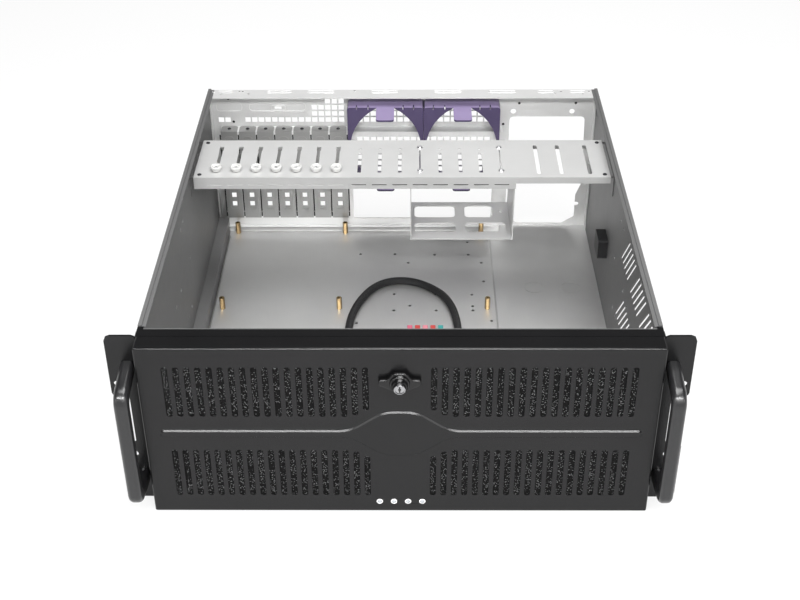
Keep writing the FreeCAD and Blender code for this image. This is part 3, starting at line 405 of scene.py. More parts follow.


# ---- Slot covers ----
# Seven blanking covers with a pressed rib each, hung from the ledge by one screw and hooked into
# the foot of the panel; small pressed dimples keep them in line.
# The covers' sheet is set darker than the rear panel's as painted shade, for the shadow of the beam over
# them.
cover_steel_painted_shade = steel_finish("cover_sheet_painted_shade", (0.30, 0.30, 0.295), (1, 1, 0.05), 0.40, 0.65)
cover_names = ["slot_cover_%d" % i for i in range(1, 8)]
refinish(cover_steel_painted_shade, *cover_names)
for name in cover_names:
    softened(nodes[name], 0.25)
cover_pitch = 20.32
cover_first_x = -72.3
cover_xs = [cover_first_x - cover_pitch * i for i in range(7)]
gap_half = 0.75
guide_xs = [x + cover_pitch / 2 for x in cover_xs] + [cover_xs[-1] - cover_pitch / 2]
dimples = [turned([(0, 0.5), (0.6, 0.42), (1.0, 0.0), (1.0, -1.4)], 16, at(on_front(469.0), x, z))
           for x in guide_xs for z in (29.0, 121.0)]
# Thin near-black strips in the gaps between the covers: painted shade for the shadowed bars behind them.
gap_shade_strips = [drawn([[(x - gap_half, 22.5), (x + gap_half, 22.5), (x + gap_half, 128.0), (x - gap_half, 128.0)]],
              on_front(468.93), extrude=0.05) for x in guide_xs]
own("slot_gap_painted_shade", gap_shade_strips, painted_shade_skin, "chassis", "bare_steel")
own("slot_dimples", dimples, cover_steel_painted_shade, "chassis", "bare_steel")


# ---- Crossbeam ----
# The beam across the case: a folded channel of bright sheet with keyed slots for the hold-downs,
# screwed down on a bracket at each wall. It is the brightest sheet in the case.
beam_steel = steel_finish("beam_sheet", (0.60, 0.60, 0.595), (0.05, 1, 1), 0.42, 0.45)
refinish(beam_steel, "crossbeam")
softened(nodes["crossbeam"], 0.3, 3)
dash_first_x, dash_pitch, dash_half = -43.4, 20.6, 7.4
dash_xs = [dash_first_x + dash_pitch * i for i in range(8)]
# Near-black strips just behind the dash slits in the beam's front flange: painted shade in the slits.
dash_shade_strips = [drawn([oblong(x - dash_half, x + dash_half, 151.05, 152.15, 0.5, 3)], on_front(312.75),
                extrude=0.15) for x in dash_xs]
own("beam_slot_painted_shade", dash_shade_strips, painted_shade_skin, "chassis", "bare_steel")


# ---- Drive bracket ----
# The open bracket hanging under the beam, folded from the same sheet, with rounded windows in
# its sides; screws through the beam hold it.
refinish(beam_steel, "drive_bracket")
softened(nodes["drive_bracket"], 0.3, 3)


# ---- Screws ----
# Pan-head machine screws with a cross recess, zinc plated: slot covers, drive bracket, handles and
# ears. The ones that hold the beam to its brackets are small and blackened.
def screw_finish(name, dark, light, rough):
    """A thin metal plating over steel."""
    plate = Finish(name)
    grain = plate.grain(0.0007)
    return plate.coat(Base_Color=plate.blend(grain, dark, light), Metallic=0.95,
                      Roughness=rough + 0.1 * grain)


def pan_head(point, outward, head_radius, head_height, length, shank=1.5):
    """Mesh of one screw: point is under the head, outward runs from there to its crown."""
    bm = bmesh.new()
    count = 32
    recess_reach, recess_half, recess_slope, recess_floor = 0.56, 0.115, 0.62, 0.12
    profile = ((0.0, 1.0), (0.14, 1.0), (0.28, 0.99), (0.42, 0.97), (0.54, 0.95), (0.58, 0.94), (0.76, 0.84),
               (0.90, 0.66), (0.98, 0.40), (1.0, 0.12), (0.97, 0.0), (shank / head_radius, 0.0))
    turns = [2 * math.pi * i / count for i in range(count)]
    loops = []
    for share, rise in profile:
        loop = []
        for turn in turns[:1] if share == 0 else turns:
            across = share * min(abs(math.sin(turn)), abs(math.cos(turn)))
            in_recess = share < recess_reach and across < recess_half
            sunk = recess_slope * (1 - share) + recess_floor if in_recess else 0.0
            out, height = head_radius * share, head_height * (rise - sunk)
            loop.append(bm.verts.new((out * math.cos(turn), out * math.sin(turn), height)))
        loops.append(loop)
    loops.append([bm.verts.new((shank * math.cos(turn), shank * math.sin(turn), -length)) for turn in turns])
    for above, below in zip(loops, loops[1:]):
        for i in range(count):
            j = (i + 1) % count
            face = list(dict.fromkeys([above[i % len(above)], below[i], below[j], above[j % len(above)]]))
            bm.faces.new(face)
    bm.faces.new(loops[-1])
    bmesh.ops.recalc_face_normals(bm, faces=bm.faces)
    mesh = bpy.data.meshes.new("pan_head")
    bm.to_mesh(mesh)
    bm.free()
    turn = Vector((0, 0, 1)).rotation_difference(Vector(outward)).to_matrix().to_4x4()
    mesh.transform(Matrix.Translation(place(*point)) @ turn @ Matrix.Scale(mm, 4))
    mesh.shade_smooth()
    mesh.set_sharp_from_angle(angle=math.radians(40))
    return mesh


zinc_skin = screw_finish("zinc_plate", (0.52, 0.52, 0.53), (0.74, 0.74, 0.75), 0.24)
dark_screw = screw_finish("blackened_steel", (0.03, 0.03, 0.032), (0.07, 0.07, 0.075), 0.32)
up, backward = (0, 0, 1), (0, 1, 0)
beam_top = 160.0
case_middle = 88.5
handle_x = 224.5
cover_heads = [pan_head((x, 475.0, 132.3), up, 2.1, 1.1, 4.0) for x in cover_xs]
own("cover_screws", cover_heads, dark_screw, "chassis", "zinc", "slot_cover_screws")
bracket_heads = [pan_head((x, y, beam_top), up, 3.0, 1.6, 5.0) for x in (18.4, 100.8) for y in (326.0, 376.0)]
own("bracket_top_screws", bracket_heads, zinc_skin, "chassis", "zinc", "bracket_screws")
beam_heads = [pan_head((x, y, beam_top), up, 2.2, 1.0, 4.5) for x in (-204.3, 204.3) for y in (318.0, 387.0)]
own("beam_end_screws", beam_heads, dark_screw, "chassis", "zinc", "beam_screws")
ear_heads = [pan_head((side * 217.0, 26.3, z), (side, 0, 0), 2.6, 1.2, 4.5)
             for side in (-1, 1) for z in (20.0, case_middle, 157.0)]
own("ear_side_screws", ear_heads, zinc_skin, "chassis", "zinc", "ear_screws")
handle_head = 1.6
handle_screw_y = (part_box("handle_screws")[1][1] - face_y) / mm - handle_head
handle_heads = [pan_head((x, handle_screw_y, z), backward, 3.0, handle_head, 9.0)
                for x in (-handle_x, handle_x) for z in (32.0, 145.0)]
own("handle_back_screws", handle_heads, zinc_skin, "chassis", "zinc", "handle_screws")


# ---- Fan frames ----
# Two snap-in fan frames side by side, moulded in satin purple plastic, with release tongues. Their
# colour holds painted light: upward faces get a pale lit copy of the purple, the rest a dark shaded copy.
purple = Finish("purple_moulding")
purple_cloud = purple.grain(0.03, detail=2.0)
purple_grit = purple.grain(0.0006, detail=1.0)
purple_up = purple.node("SeparateXYZ", {}, 2, Vector=purple.node("TexCoord", output=1))
# painted top light: the pale copy goes on faces turned up, the dark copy (painted shade) on the rest
purple_painted_top_light = purple.node("ValToRGB", {"stops": ((0.35, (0, 0, 0)), (0.85, (1, 1, 1)))}, Fac=purple_up)
purple_shaded_copy = purple.blend(purple_cloud, (0.045, 0.032, 0.080), (0.065, 0.048, 0.110))
purple_lit_copy = purple.blend(purple_cloud, (0.20, 0.158, 0.275), (0.25, 0.205, 0.34))
purple_skin = purple.coat(Base_Color=purple.blend(purple_painted_top_light, purple_shaded_copy, purple_lit_copy),
                          Roughness=0.36 + 0.10 * purple_grit, Normal=purple.bump(purple_grit, 0.08, 0.0002))
refinish(purple_skin, "fan_holder_left", "fan_holder_right")
for name in ("fan_holder_left", "fan_holder_right"):
    softened(nodes[name], 0.5, 3)


# ---- Board pillars ----
# Hexagonal brass pillars pressed into the raised floor and tapped for the board's screws; the
# short spacers behind the front are of the same bar.
brass = Finish("turned_brass")
brass_grain = brass.grain(0.0008)
brass_skin = brass.coat(Base_Color=brass.blend(brass_grain, (0.33, 0.22, 0.10), (0.50, 0.37, 0.20)),
                        Metallic=0.97, Roughness=0.20 + 0.1 * brass_grain)
refinish(brass_skin, "board_standoffs", "board_spacers")
for name in ("board_standoffs", "board_spacers"):
    softened(nodes[name], 0.2)


# ---- Hold-downs ----
# Seven thumb nuts of pale nylon on the beam: a fluted head with a dished centre over a neck that
# slides in its keyed slot, a round foot under the sheet, and a zinc plated stud in the middle.
nylon = Finish("pale_nylon")
nylon_cloud = nylon.grain(0.004)
nylon_skin = nylon.coat(Base_Color=nylon.blend(nylon_cloud, (0.46, 0.46, 0.45), (0.60, 0.60, 0.585)),
                        Roughness=0.45 + 0.08 * nylon_cloud, Subsurface_Weight=0.15,
                        Subsurface_Radius=(0.001, 0.001, 0.001))
knob_rings = [(0, 155.7), (3.9, 155.7), (4.0, 156.0), (4.0, 158.5), (3.8, 158.7), (1.5, 158.7),
              (1.5, 160.4), (4.3, 160.4), (4.6, 160.7), (4.6, 162.2), (4.9, 162.6), (5.5, 162.8),
              (5.8, 163.2), (5.8, 164.9), (5.4, 165.4), (4.2, 165.5), (3.7, 165.2), (3.3, 163.9),
              (2.1, 163.7), (1.9, 163.3), (1.9, 161.9), (0, 161.8)]
stud_rings = [(0, 160.6), (1.2, 160.6), (1.25, 164.3), (1.0, 164.6), (0, 164.6)]
hold_down_offset, hold_down_y = 5.8, 327.0
for number, x in enumerate(cover_xs, 1):
    spot = at(on_floor(0), x + hold_down_offset, hold_down_y)
    knob = turned(knob_rings, 48, spot, True, 0.22)
    stud = turned(stud_rings, 24, spot)
    own("hold_down_stud_%d" % number, stud, zinc_skin, "hold_down_%d" % number, "zinc")
    own("hold_down_knob_%d" % number, knob, nylon_skin, "hold_down_%d" % number, "white_nylon",
        "hold_down_%d" % number)


# ---- Front steelwork ----
# Front panel and rack ears: folded sheet steel under a fine black powder coat with a little
# orange-peel in it; the ears are screwed on at the sides.
black = Finish("black_powder_coat")
black_grit = black.grain(0.0006, detail=2.0, roughness=0.6)
black_peel = black.grain(0.004, detail=2.0)
black_cloud = black.grain(0.05, detail=3.0)
black_tone = black.blend(black_cloud * 0.5 + black_grit * 0.5, (0.0025, 0.0025, 0.0027),
                         (0.008, 0.008, 0.0085))
black_skin = black.coat(Base_Color=black_tone,
                        Roughness=0.20 + 0.10 * black_grit, Specular_IOR_Level=0.35,
                        Normal=black.bump(black_grit * 0.8 + black_peel * 0.2, 0.12, 0.0003))
refinish(black_skin, "front_panel", "ear_left", "ear_right")
for name in ("ear_left", "ear_right"):
    softened(nodes[name], 0.6, 1)
softened(nodes["front_panel"], 0.5, 3)


# ---- Handles ----
# Bowed grips, cast in one piece with rounded corners, sprayed in a glossier black than the sheet
# and screwed on through the ears from behind.
enamel = Finish("black_enamel")
enamel_grit = enamel.grain(0.0012, detail=2.0)
enamel_tone = enamel.blend(enamel_grit, (0.006, 0.006, 0.0065), (0.014, 0.014, 0.015))
enamel_skin = enamel.coat(Base_Color=enamel_tone,
                          Roughness=0.26 + 0.08 * enamel_grit, Coat_Weight=0.3, Coat_Roughness=0.16,
                          Normal=enamel.bump(enamel_grit, 0.06, 0.0002))
grip_top, grip_bottom, grip = 151.0, 21.0, 12.0
grip_round = 4.2
grip_foot_y, grip_reach = 18.3, 42.3
grip_front_y = grip_foot_y - grip_reach
grip_back_y = grip_front_y + grip - 0.5
grip_profile = rounded([(grip_foot_y, grip_top), (grip_front_y, grip_top - 6.0, 15),
                        (grip_front_y, grip_bottom + 6.0, 13), (grip_foot_y, grip_bottom),
                        (grip_foot_y, grip_bottom + grip), (grip_back_y, grip_bottom + grip + 5.0, 6),
                        (grip_back_y, grip_top - grip - 5.0, 6), (grip_foot_y, grip_top - grip)], 10)
for side, name in ((-1, "left"), (1, "right")):
    grip_mesh = drawn([grip_profile], on_side(side * handle_x), extrude=grip / 2 - grip_round,
                      bevel_depth=grip_round, bevel_resolution=8, offset=-grip_round)
    own("handle_grip_" + name, grip_mesh, enamel_skin, "chassis", "black_steel", "handle_" + name)


# ---- Front door ----
# A shallow pressed tray that closes the front: two fields of tall round-ended slots, a raised
# band across the middle, and rims turned back all round. It swings down on two pins.
door_half, door_low, door_high = 214.5, 0.5, 176.5
bend = 1.6
door_sheet = 1.2
lower_rim_half, lower_rim_depth, lower_rim_rise = 208.5, 15.7, 6.0


def slot_loop(x, z0, z1, width, steps=10):
    """The outline of an upright slot with round ends."""
    r = width / 2
    upper = [(x + r * math.cos(math.pi * k / steps), z1 - r + r * math.sin(math.pi * k / steps))
             for k in range(steps + 1)]
    lower = [(x - r * math.cos(math.pi * k / steps), z0 + r - r * math.sin(math.pi * k / steps))
             for k in range(steps + 1)]
    return upper + lower


def ring_loop(x, z, radius, count=32):
    """The outline of a round hole."""
    turns = [2 * math.pi * k / count for k in range(count)]
    return [(x + radius * math.cos(turn), z + radius * math.sin(turn)) for turn in turns]


led_middle_x, led_pitch, led_z = 0.55, 12.3, 12.1
led_xs = [led_middle_x + led_pitch * (i - 1.5) for i in range(4)]
lock_z = 145.5
slot_first, slot_pitch, slot_width, slot_near, slot_far = 28.0, 9.05, 4.7, 18.2, 69.2
door_holes = [ring_loop(0, lock_z, 6.1)] + [ring_loop(x, led_z, 2.45, 24) for x in led_xs]
for i in range(19):
    cut = 7.0 if i == 0 else 1.8 if i == 1 else 0.0
    for side in (-1, 1):
        x = side * (slot_first + slot_pitch * i)
        door_holes.append(slot_loop(x, case_middle + slot_near + cut, case_middle + slot_far, slot_width))
        door_holes.append(slot_loop(x, case_middle - slot_far, case_middle - slot_near - cut, slot_width))


def door_edge(inset):
    """The door's outline moved in by a distance, with a point on each side of the lower rim's ends."""
    corner = 1.8 - inset
    x, low, high = door_half - inset, door_low + inset, door_high - inset
    loop = rounded([(-x, low, corner), (x, low, corner), (x, high, corner), (-x, high, corner)], 4)
    return loop[:5] + [Vector((-lower_rim_half, low)), Vector((lower_rim_half, low))] + loop[5:]


tray = bmesh.new()
door_rows = [(bend - bend * math.sin(a), bend - bend * math.cos(a))
             for a in (0, math.pi / 6, math.pi / 3, math.pi / 2)]
rims = []
for inset, depth in door_rows + [(0, None)]:
    rim = []
    for u, v in door_edge(inset):
        short_by = (door_depth - lower_rim_depth) * max(0.0, 1 - (v - door_low) / lower_rim_rise)
        back = door_depth - short_by
        rim.append(tray.verts.new((u, v, -(back if depth is None else depth))))
    rims.append(rim)
for row, (outer, inner_rim) in enumerate(zip(rims, rims[1:])):
    for i in range(len(outer)):
        j = (i + 1) % len(outer)
        if row == len(door_rows) - 1 and i in (4, 6):   # notches at the hinge lugs
            continue
        tray.faces.new((outer[i], outer[j], inner_rim[j], inner_rim[i]))
face_edges = [tray.edges.get((rims[0][i], rims[0][(i + 1) % len(rims[0])])) for i in range(len(rims[0]))]
for loop in door_holes:
    around = [tray.verts.new((u, v, 0)) for u, v in loop]
    face_edges += [tray.edges.new((around[i], around[(i + 1) % len(around)])) for i in range(len(around))]
bmesh.ops.triangle_fill(tray, use_beauty=True, use_dissolve=False, edges=face_edges, normal=(0, 0, 1))
bmesh.ops.recalc_face_normals(tray, faces=tray.faces)
if sum(f.normal.z * f.calc_area() for f in tray.faces) < 0:
    bmesh.ops.reverse_faces(tray, faces=tray.faces)
door_mesh = bpy.data.meshes.new("door_tray")
tray.to_mesh(door_mesh)
tray.free()
door_mesh.transform(on_front(0))
door_mesh.shade_smooth()
door_mesh.set_sharp_from_angle(angle=math.radians(12))
door = own("door_tray", door_mesh, black_skin, "door", "black_steel", "front_door")
wall = door.modifiers.new("sheet", "SOLIDIFY")
wall.thickness = door_sheet * mm
wall.offset = -1
softened(door, 0.55, 1).modifiers["soft_edges"].harden_normals = True

crest, shoulder, crest_rise, crest_bend = 42.0, 14.0, 20.0, 30.0
band_middle_x, band_half_length, band_half_width, band_roll = 0.7, 202.0, 4.1, 1.45
band_x0, band_x1 = band_middle_x - band_half_length, band_middle_x + band_half_length
band_z0, band_z1 = case_middle - band_half_width, case_middle + band_half_width
band_line = rounded([(band_x0, band_z0, 4.0), (-crest, band_z0, crest_bend),
                     (-shoulder, band_z0 - crest_rise, crest_bend),
                     (shoulder, band_z0 - crest_rise, crest_bend),
                     (crest, band_z0, crest_bend), (band_x1, band_z0, 4.0), (band_x1, band_z1, 4.0),
                     (crest, band_z1, crest_bend), (shoulder, band_z1 + crest_rise, crest_bend),
                     (-shoulder, band_z1 + crest_rise, crest_bend), (-crest, band_z1, crest_bend),
                     (band_x0, band_z1, 4.0)], 12)
band_mesh = drawn([band_line], on_front(0.25), extrude=0.0, bevel_depth=band_roll, bevel_resolution=0,
                  offset=-band_roll)
own("door_band", band_mesh, black_skin, "door", "black_steel")

pin_middle = 6.5        # behind the face and above the table
pin_rings = [(0, 215.0), (1.6, 214.9), (2.0, 214.6), (2.0, 208.8), (1.7, 208.5), (0, 208.5)]
pin_mesh = [turned(pin_rings, 24, Matrix(((0, 0, side * mm, 0), (mm, 0, 0, face_y + pin_middle * mm),
                                          (0, side * mm, 0, pin_middle * mm), (0, 0, 0, 1))))
            for side in (-1, 1)]
own("door_pins", pin_mesh, zinc_skin, "door", "zinc", "hinge_pins")


# ---- Door filters ----
# Pads of black open-cell foam behind the slots, so the air comes in clean; their skin is
# uneven, and pale specks in its colour are painted highlights for torn cells catching the light.
foam = Finish("open_cell_foam")
foam_place = foam.node("TexCoord", output=3)
cells = foam.node("TexVoronoi", {"feature": "F1"}, 0, Vector=foam_place, Scale=1300.0)
glint_cells = foam.node("TexVoronoi", {"feature": "F1"}, 0, Vector=foam_place, Scale=720.0)
foam_cloud = foam.grain(0.0022, detail=4.0, roughness=0.7)
# painted highlights: pale specks in the colour for torn cells catching the light
painted_glint_mask = foam.node("ValToRGB", {"stops": ((0.14, (1, 1, 1)), (0.30, (0, 0, 0)))}, Fac=glint_cells)
cell_mask = foam.node("ValToRGB", {"stops": ((0.25, (0, 0, 0)), (0.75, (1, 1, 1)))},
                      Fac=cells * 0.6 + foam_cloud * 0.5)
foam_base = foam.blend(cell_mask, (0.0005, 0.0005, 0.0005), (0.005, 0.005, 0.005))
foam_tone = foam.blend(painted_glint_mask * 0.85, foam_base, (0.30, 0.30, 0.305))
foam_skin = foam.coat(Base_Color=foam_tone, Roughness=0.92, Specular_IOR_Level=0.12,
                      Normal=foam.bump(cells * 0.6 + foam_cloud * 0.6, 0.6, 0.0009))


def pad_mesh(x0, x1, z0, z1, y0, y1, pitch=2.6):
    """One foam pad: a closed cushion of even thickness with a rough face and pulled-in edges."""
    bm = bmesh.new()
    across, high = round((x1 - x0) / pitch), round((z1 - z0) / pitch)
    sheets = []
    for near in (True, False):
        rows = []
        for j in range(high + 1):
            row = []
            for i in range(across + 1):
                rim = min(i, j, across - i, high - j)
                pull = (0.9, 0.25)[rim] if rim < 2 else 0.0
                wave = 0.14 + 0.13 * noise.noise(Vector((i * 0.9, j * 0.9, 7.0 if near else 31.0)))
                sink = min(1.9, pull + wave)
                side_in = 0.5 if rim == 0 else 0.0
                x = x0 + (x1 - x0) * i / across
                z = z0 + (z1 - z0) * j / high
                x += side_in if i == 0 else -side_in if i == across else 0
                z += side_in if j == 0 else -side_in if j == high else 0
                row.append(bm.verts.new(place(x, y0 + sink if near else y1 - sink, z)))
            rows.append(row)
        for j in range(high):
            for i in range(across):
                bm.faces.new((rows[j][i], rows[j][i + 1], rows[j + 1][i + 1], rows[j + 1][i]))
        sheets.append(rows)
    front, back = [[*rows[0], *[r[-1] for r in rows[1:]], *rows[-1][-2::-1], *[r[0] for r in rows[-2:0:-1]]]
                   for rows in sheets]
    for i in range(len(front)):
        j = (i + 1) % len(front)
        bm.faces.new((front[i], front[j], back[j], back[i]))
    bmesh.ops.recalc_face_normals(bm, faces=bm.faces)
    mesh = bpy.data.meshes.new("pad")
    bm.to_mesh(mesh)
    bm.free()
    mesh.shade_smooth()
    return mesh


pad_inner, pad_outer, pad_front, pad_back = 22.0, 205.3, 1.25, 6.7
for side, name in ((-1, "filters_left"), (1, "filters_right")):
    low_x, high_x = sorted((side * pad_inner, side * pad_outer))
    pads = [pad_mesh(low_x, high_x, z0, z1, pad_front, pad_back) for z0, z1 in ((101.7, 162.7), (14.3, 75.3))]
    pad = own(name + "_foam", pads, foam_skin, "door", "foam", name)


# ---- Status windows ----
# Four clear moulded light pipes through the foot of the door, each with a domed lens and a
# white collar pressed in from the front.
lens = Finish("clear_lens")
lens_cloud = lens.grain(0.003)
lens_skin = lens.coat(Base_Color=lens.blend(lens_cloud, (0.30, 0.32, 0.34), (0.44, 0.46, 0.48)),
                      Roughness=0.08 + 0.04 * lens_cloud, Coat_Weight=0.6, Coat_Roughness=0.03)
collar = Finish("white_collar")
collar_cloud = collar.grain(0.003)
collar_skin = collar.coat(Base_Color=collar.blend(collar_cloud, (0.70, 0.70, 0.70), (0.84, 0.84, 0.84)),
                          Roughness=0.35 + 0.1 * collar_cloud)
pipe_back = (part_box("light_pipes")[1][1] - face_y) / mm
pipe_rings = [(0, 1.1), (0.8, 1.0), (1.4, 0.75), (1.8, 0.3), (1.95, -0.1), (1.95, -pipe_back),
              (0, -pipe_back)]
pipes = [turned(pipe_rings, 28, at(on_front(0), x, led_z)) for x in led_xs]
own("status_lenses", pipes, lens_skin, "door", "clear_lens", "light_pipes")
collar_rings = [(1.97, 0.05), (2.0, 0.30), (2.5, 0.30), (2.75, 0.1), (2.75, -0.05), (2.40, -0.05),
                (2.35, -1.6), (1.97, -1.6)]
collars = [turned(collar_rings, 28, at(on_front(0), x, led_z)) for x in led_xs]
own("status_collars", collars, collar_skin, "door", "clear_lens")


# ---- Door lock ----
# A quarter-turn lock: a moulded wing knob in glossy black with a turned and chromed key barrel in
# its hub, and a zinc plated cam and nut at the back of the door.
shine = Finish("glossy_moulding")
shine_cloud = shine.grain(0.006)
shine_skin = shine.coat(Base_Color=shine.blend(shine_cloud, (0.002, 0.002, 0.002), (0.005, 0.005, 0.0055)),
                        Roughness=0.14 + 0.06 * shine_cloud, Specular_IOR_Level=0.4, Coat_Weight=0.1,
                        Coat_Roughness=0.04)
wing_line = rounded([(-17.5, lock_z - 2.4, 1.6), (-7, lock_z - 8.0, 5), (7, lock_z - 8.0, 5),
                     (17.5, lock_z - 2.4, 1.6), (17.5, lock_z + 2.6, 2), (9.8, lock_z + 3.2, 6),
                     (5.6, lock_z + 9.4, 5), (-5.6, lock_z + 9.4, 5), (-9.8, lock_z + 3.2, 6),
                     (-17.5, lock_z + 2.6, 2)], 8)
wing_half, wing_round = 2.25, 1.5
wing_mesh = drawn([wing_line], on_front(-0.6 - wing_half), extrude=wing_half - wing_round,
                  bevel_depth=wing_round, bevel_resolution=5, offset=-wing_round)
lock_spot = at(on_front(0), 0, lock_z)
hub_mesh = turned([(4.85, 4.0), (4.85, 10.2), (5.2, 10.9), (5.8, 10.9), (6.3, 10.4), (6.9, 7.6), (7.6, 7.2),
                   (8.2, 6.4), (8.7, 3.0), (8.7, 0.6), (5.9, 0.6), (5.9, -19.0), (0, -19.0)], 48, lock_spot)
own("wing_knob", [wing_mesh, hub_mesh], shine_skin, "lock", "black_gloss", "lock_knob")
chrome = Finish("chrome_plate")
chrome_cloud = chrome.grain(0.004)
chrome_skin = chrome.coat(Base_Color=chrome.blend(chrome_cloud, (0.36, 0.36, 0.37), (0.50, 0.50, 0.51)),
                          Metallic=1.0, Roughness=0.09 + 0.05 * chrome_cloud)
barrel_mesh = turned([(0, 13.2), (1.4, 13.2), (3.6, 13.2), (3.9, 13.9), (4.3, 14.0), (4.7, 13.7), (4.8, 13.2),
                      (4.8, 2.0), (0, 2.0)], 48, lock_spot)
own("lock_barrel", barrel_mesh, chrome_skin, "lock", "chrome", "key_barrel")
# The keyway slit and the eye in the barrel's face are near-black pieces: painted shade for the keyway's
# depth.
keyway_painted_shade = drawn([slot_loop(0, -2.9, 2.9, 1.3)], at(on_front(-13.1), 0, lock_z), extrude=0.25,
                 bevel_depth=0.05, offset=-0.05)
key_eye_shade = turned([(0, 13.45), (1.2, 13.4), (1.35, 13.0)], 24, lock_spot)
own("keyway_painted_shade", [keyway_painted_shade, key_eye_shade], painted_shade_skin, "lock", "chrome")
cam_zinc = screw_finish("cam_zinc", (0.50, 0.50, 0.50), (0.70, 0.70, 0.71), 0.28)
refinish(cam_zinc, "lock_cam", "cam_nut")
for name in ("lock_cam", "cam_nut"):
    softened(nodes[name], 0.3)


# ---- Buttons and status board ----
# Behind the door: power and reset caps in black plastic, and the small lacquered board that
# carries their switches and the status lamps, on four brass spacers.
plastic = Finish("black_moulding")
plastic_grit = plastic.grain(0.0006)
plastic_tone = plastic.blend(plastic_grit, (0.003, 0.003, 0.0035), (0.012, 0.012, 0.013))
plastic_skin = plastic.coat(Base_Color=plastic_tone, Roughness=0.40 + 0.1 * plastic_grit,
                            Normal=plastic.bump(plastic_grit, 0.15, 0.0002))
plastic_names = ("wall_block", "power_button", "reset_button", "switches", "board_plug", "cable_comb")
refinish(plastic_skin, *plastic_names)
for name in plastic_names:
    softened(nodes[name], 0.4, 3)
refinish(lens_skin, "front_leds")
board = Finish("lacquered_board")
board_place = board.node("TexCoord", output=3)
tracks = board.node("TexBrick", {"offset": 0.5}, 1, Vector=board_place, Scale=260.0, Mortar_Size=0.06)
track_wander = board.grain(0.006, detail=1.0)
board_tone = board.blend(tracks * 0.6 + track_wander * 0.3, (0.010, 0.080, 0.030), (0.030, 0.180, 0.075))
board_skin = board.coat(Base_Color=board_tone, Roughness=0.25 + 0.1 * track_wander, Coat_Weight=0.3,
                        Normal=board.bump(tracks, 0.2, 0.0002))
refinish(board_skin, "front_board")
softened(nodes["front_board"], 0.15)


# ---- Front plugs ----
# Five small crimp housings side by side at the end of the lead, each in its own colour, with two
# ribs, an open latch window and tinned contacts showing in it.
plug_xs = (8.0, 16.0, 24.0, 32.0, 40.0)
plug_tones = ((0.50, 0.10, 0.16), (0.45, 0.045, 0.04), (0.58, 0.20, 0.24), (0.45, 0.045, 0.04),
              (0.03, 0.26, 0.25))
plug_half = 2.7


def housing_mesh(x):
    """The meshes of one housing: walls round the latch window, floor under it, and two ribs."""
    body_line = rounded([(x - plug_half, 250.2, 0.5), (x + plug_half, 250.2, 0.5),
                         (x + plug_half, 267.0, 0.7), (x - plug_half, 267.0, 0.7)], 3)
    window = oblong(x - 1.5, x + 1.5, 256.0, 259.5, 0.4, 3)
    wall_round, floor_round = 0.35, 0.2
    walls = drawn([body_line, window], on_floor(8.2), extrude=2.2 - wall_round, bevel_depth=wall_round,
                  bevel_resolution=2, offset=-wall_round)
    base = drawn([body_line], on_floor(7.2), extrude=1.0 - floor_round, bevel_depth=floor_round,
                 offset=-floor_round)
    ribs = [drawn([oblong(x + s - 0.4, x + s + 0.4, 251.5, 265.5, 0.3, 2)], on_floor(10.3), extrude=0.12,
                  bevel_depth=0.12, offset=-0.1) for s in (-1.9, 1.9)]
    return [walls, base, *ribs]


for number, (x, tone) in enumerate(zip(plug_xs, plug_tones), 1):
    dye = Finish("housing_colour_%d" % number)
    dye_grit = dye.grain(0.0015)
    dye_skin = dye.coat(Base_Color=dye.blend(dye_grit, tuple(c * 0.8 for c in tone), tone),
                        Roughness=0.38 + 0.1 * dye_grit)
    replaced = ("front_plugs",) if number == 1 else ()
    own("front_housing_%d" % number, housing_mesh(x), dye_skin, "chassis", "plug_plastic",
                        *replaced)
contacts = [drawn([oblong(x + s - 0.5, x + s + 0.5, 256.3, 259.2, 0.1, 2)], on_floor(8.6), extrude=0.35,
                  bevel_depth=0.1, offset=-0.1) for x in plug_xs for s in (-0.8, 0.8)]
pins_of_plugs = own("front_contacts", contacts, zinc_skin, "chassis", "zinc")


# ---- Floor and light ----
# A plain pale floor under soft studio light; it renders white and keeps the case's shadow. The
# patch under the case is near black, so its floor holes look into shade.
floor_reach = 8.0
shade_half, shade_front, shade_back = 0.205, -0.150, 0.240
floor_glow, sky_strength, sky_level = 0.80, 0.8, 0.06
ground_mesh = bpy.data.meshes.new("ground")
ground_corners = [(-floor_reach, -floor_reach), (floor_reach, -floor_reach), (floor_reach, floor_reach),
                  (-floor_reach, floor_reach), (-shade_half, shade_front), (shade_half, shade_front),
                  (shade_half, shade_back), (-shade_half, shade_back)]
ground_mesh.from_pydata([(x, y, 0) for x, y in ground_corners], [],
                        [(0, 1, 5, 4), (1, 2, 6, 5), (2, 3, 7, 6), (3, 0, 4, 7), (4, 5, 6, 7)])
ground = bpy.data.objects.new("ground", ground_mesh)
bpy.context.scene.collection.objects.link(ground)
paper = Finish("pale_floor")
paper_grain = paper.grain(0.4)
paper.coat(Base_Color=paper.blend(paper_grain, (0.84, 0.84, 0.84), (0.88, 0.88, 0.88)), Roughness=0.9)
seen_by_camera, in_reflection, through_glass = [paper.node("LightPath", output=k) for k in (0, 3, 6)]
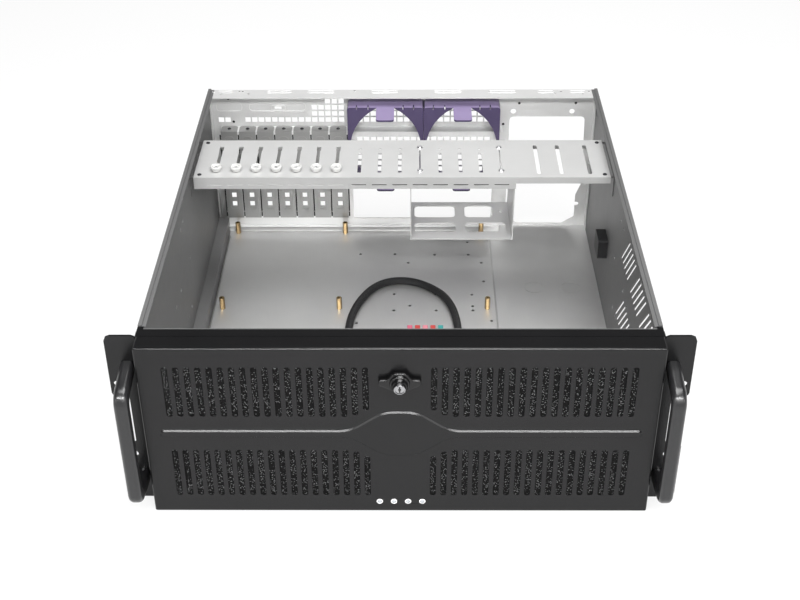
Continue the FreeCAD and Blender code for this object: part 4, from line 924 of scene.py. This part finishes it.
seen = paper.node("Math", {"operation": "MAXIMUM", "use_clamp": True},
                  Value=[seen_by_camera, in_reflection + through_glass])
lit_paper = Signal(paper.tree, paper.surface.outputs[0])
glow = paper.node("Emission", Strength=1.0)
mixed = paper.node("MixShader", Fac=seen * floor_glow, Shader=[lit_paper, glow])
paper.fill(paper.tree.nodes["Material Output"], {"Surface": mixed})
ground_mesh.materials.append(paper.material)
shade = Finish("shaded_floor")
ground_mesh.materials.append(shade.coat(Base_Color=(0.01, 0.01, 0.01), Roughness=0.9))
ground_mesh.polygons[4].material_index = 1     # the patch under the case

world = bpy.data.worlds.new("studio")
world.use_nodes = True
bpy.context.scene.world = world
sky = Wiring(world.node_tree)
sky_height = sky.node("SeparateXYZ", {}, 2, Vector=sky.node("TexCoord"))
sky_tone = sky.node("ValToRGB", {"stops": ((0.22, (1, 1, 1)), (0.42, (sky_level, sky_level, sky_level)))},
                    Fac=sky_height)
sky.fill(world.node_tree.nodes["Background"], {"Color": sky_tone, "Strength": sky_strength})


def softbox(name, spot, aim, width, depth, power):
    """A rectangular lamp at a spot, turned towards its aim."""
    lamp_data = bpy.data.lights.new(name, "AREA")
    lamp_data.shape = "RECTANGLE"
    lamp_data.size, lamp_data.size_y = width, depth
    lamp_data.energy = power
    lamp = bpy.data.objects.new(name, lamp_data)
    lamp.location = spot
    lamp.rotation_euler = (Vector(aim) - Vector(spot)).to_track_quat("-Z", "Y").to_euler()
    bpy.context.scene.collection.objects.link(lamp)


softbox("top_box", (0.1, -0.05, 1.9), (0, 0, 0.1), 1.4, 1.2, 42.0)
softbox("front_box", (0.25, -1.8, 1.2), (0, 0.1, 0.1), 1.3, 0.8, 8.0)
softbox("front_strip", (0.0, -1.24, 1.26), (0, -0.25, 0.1), 1.8, 0.13, 34.0)
for side in (-1, 1):
    softbox("side_box", (side * 1.2, -1.1, 0.75), (0, -0.2, 0.1), 0.55, 0.55, 3.5)

bpy.context.scene.view_settings.view_transform = "Standard"
place(*cable_points[0])
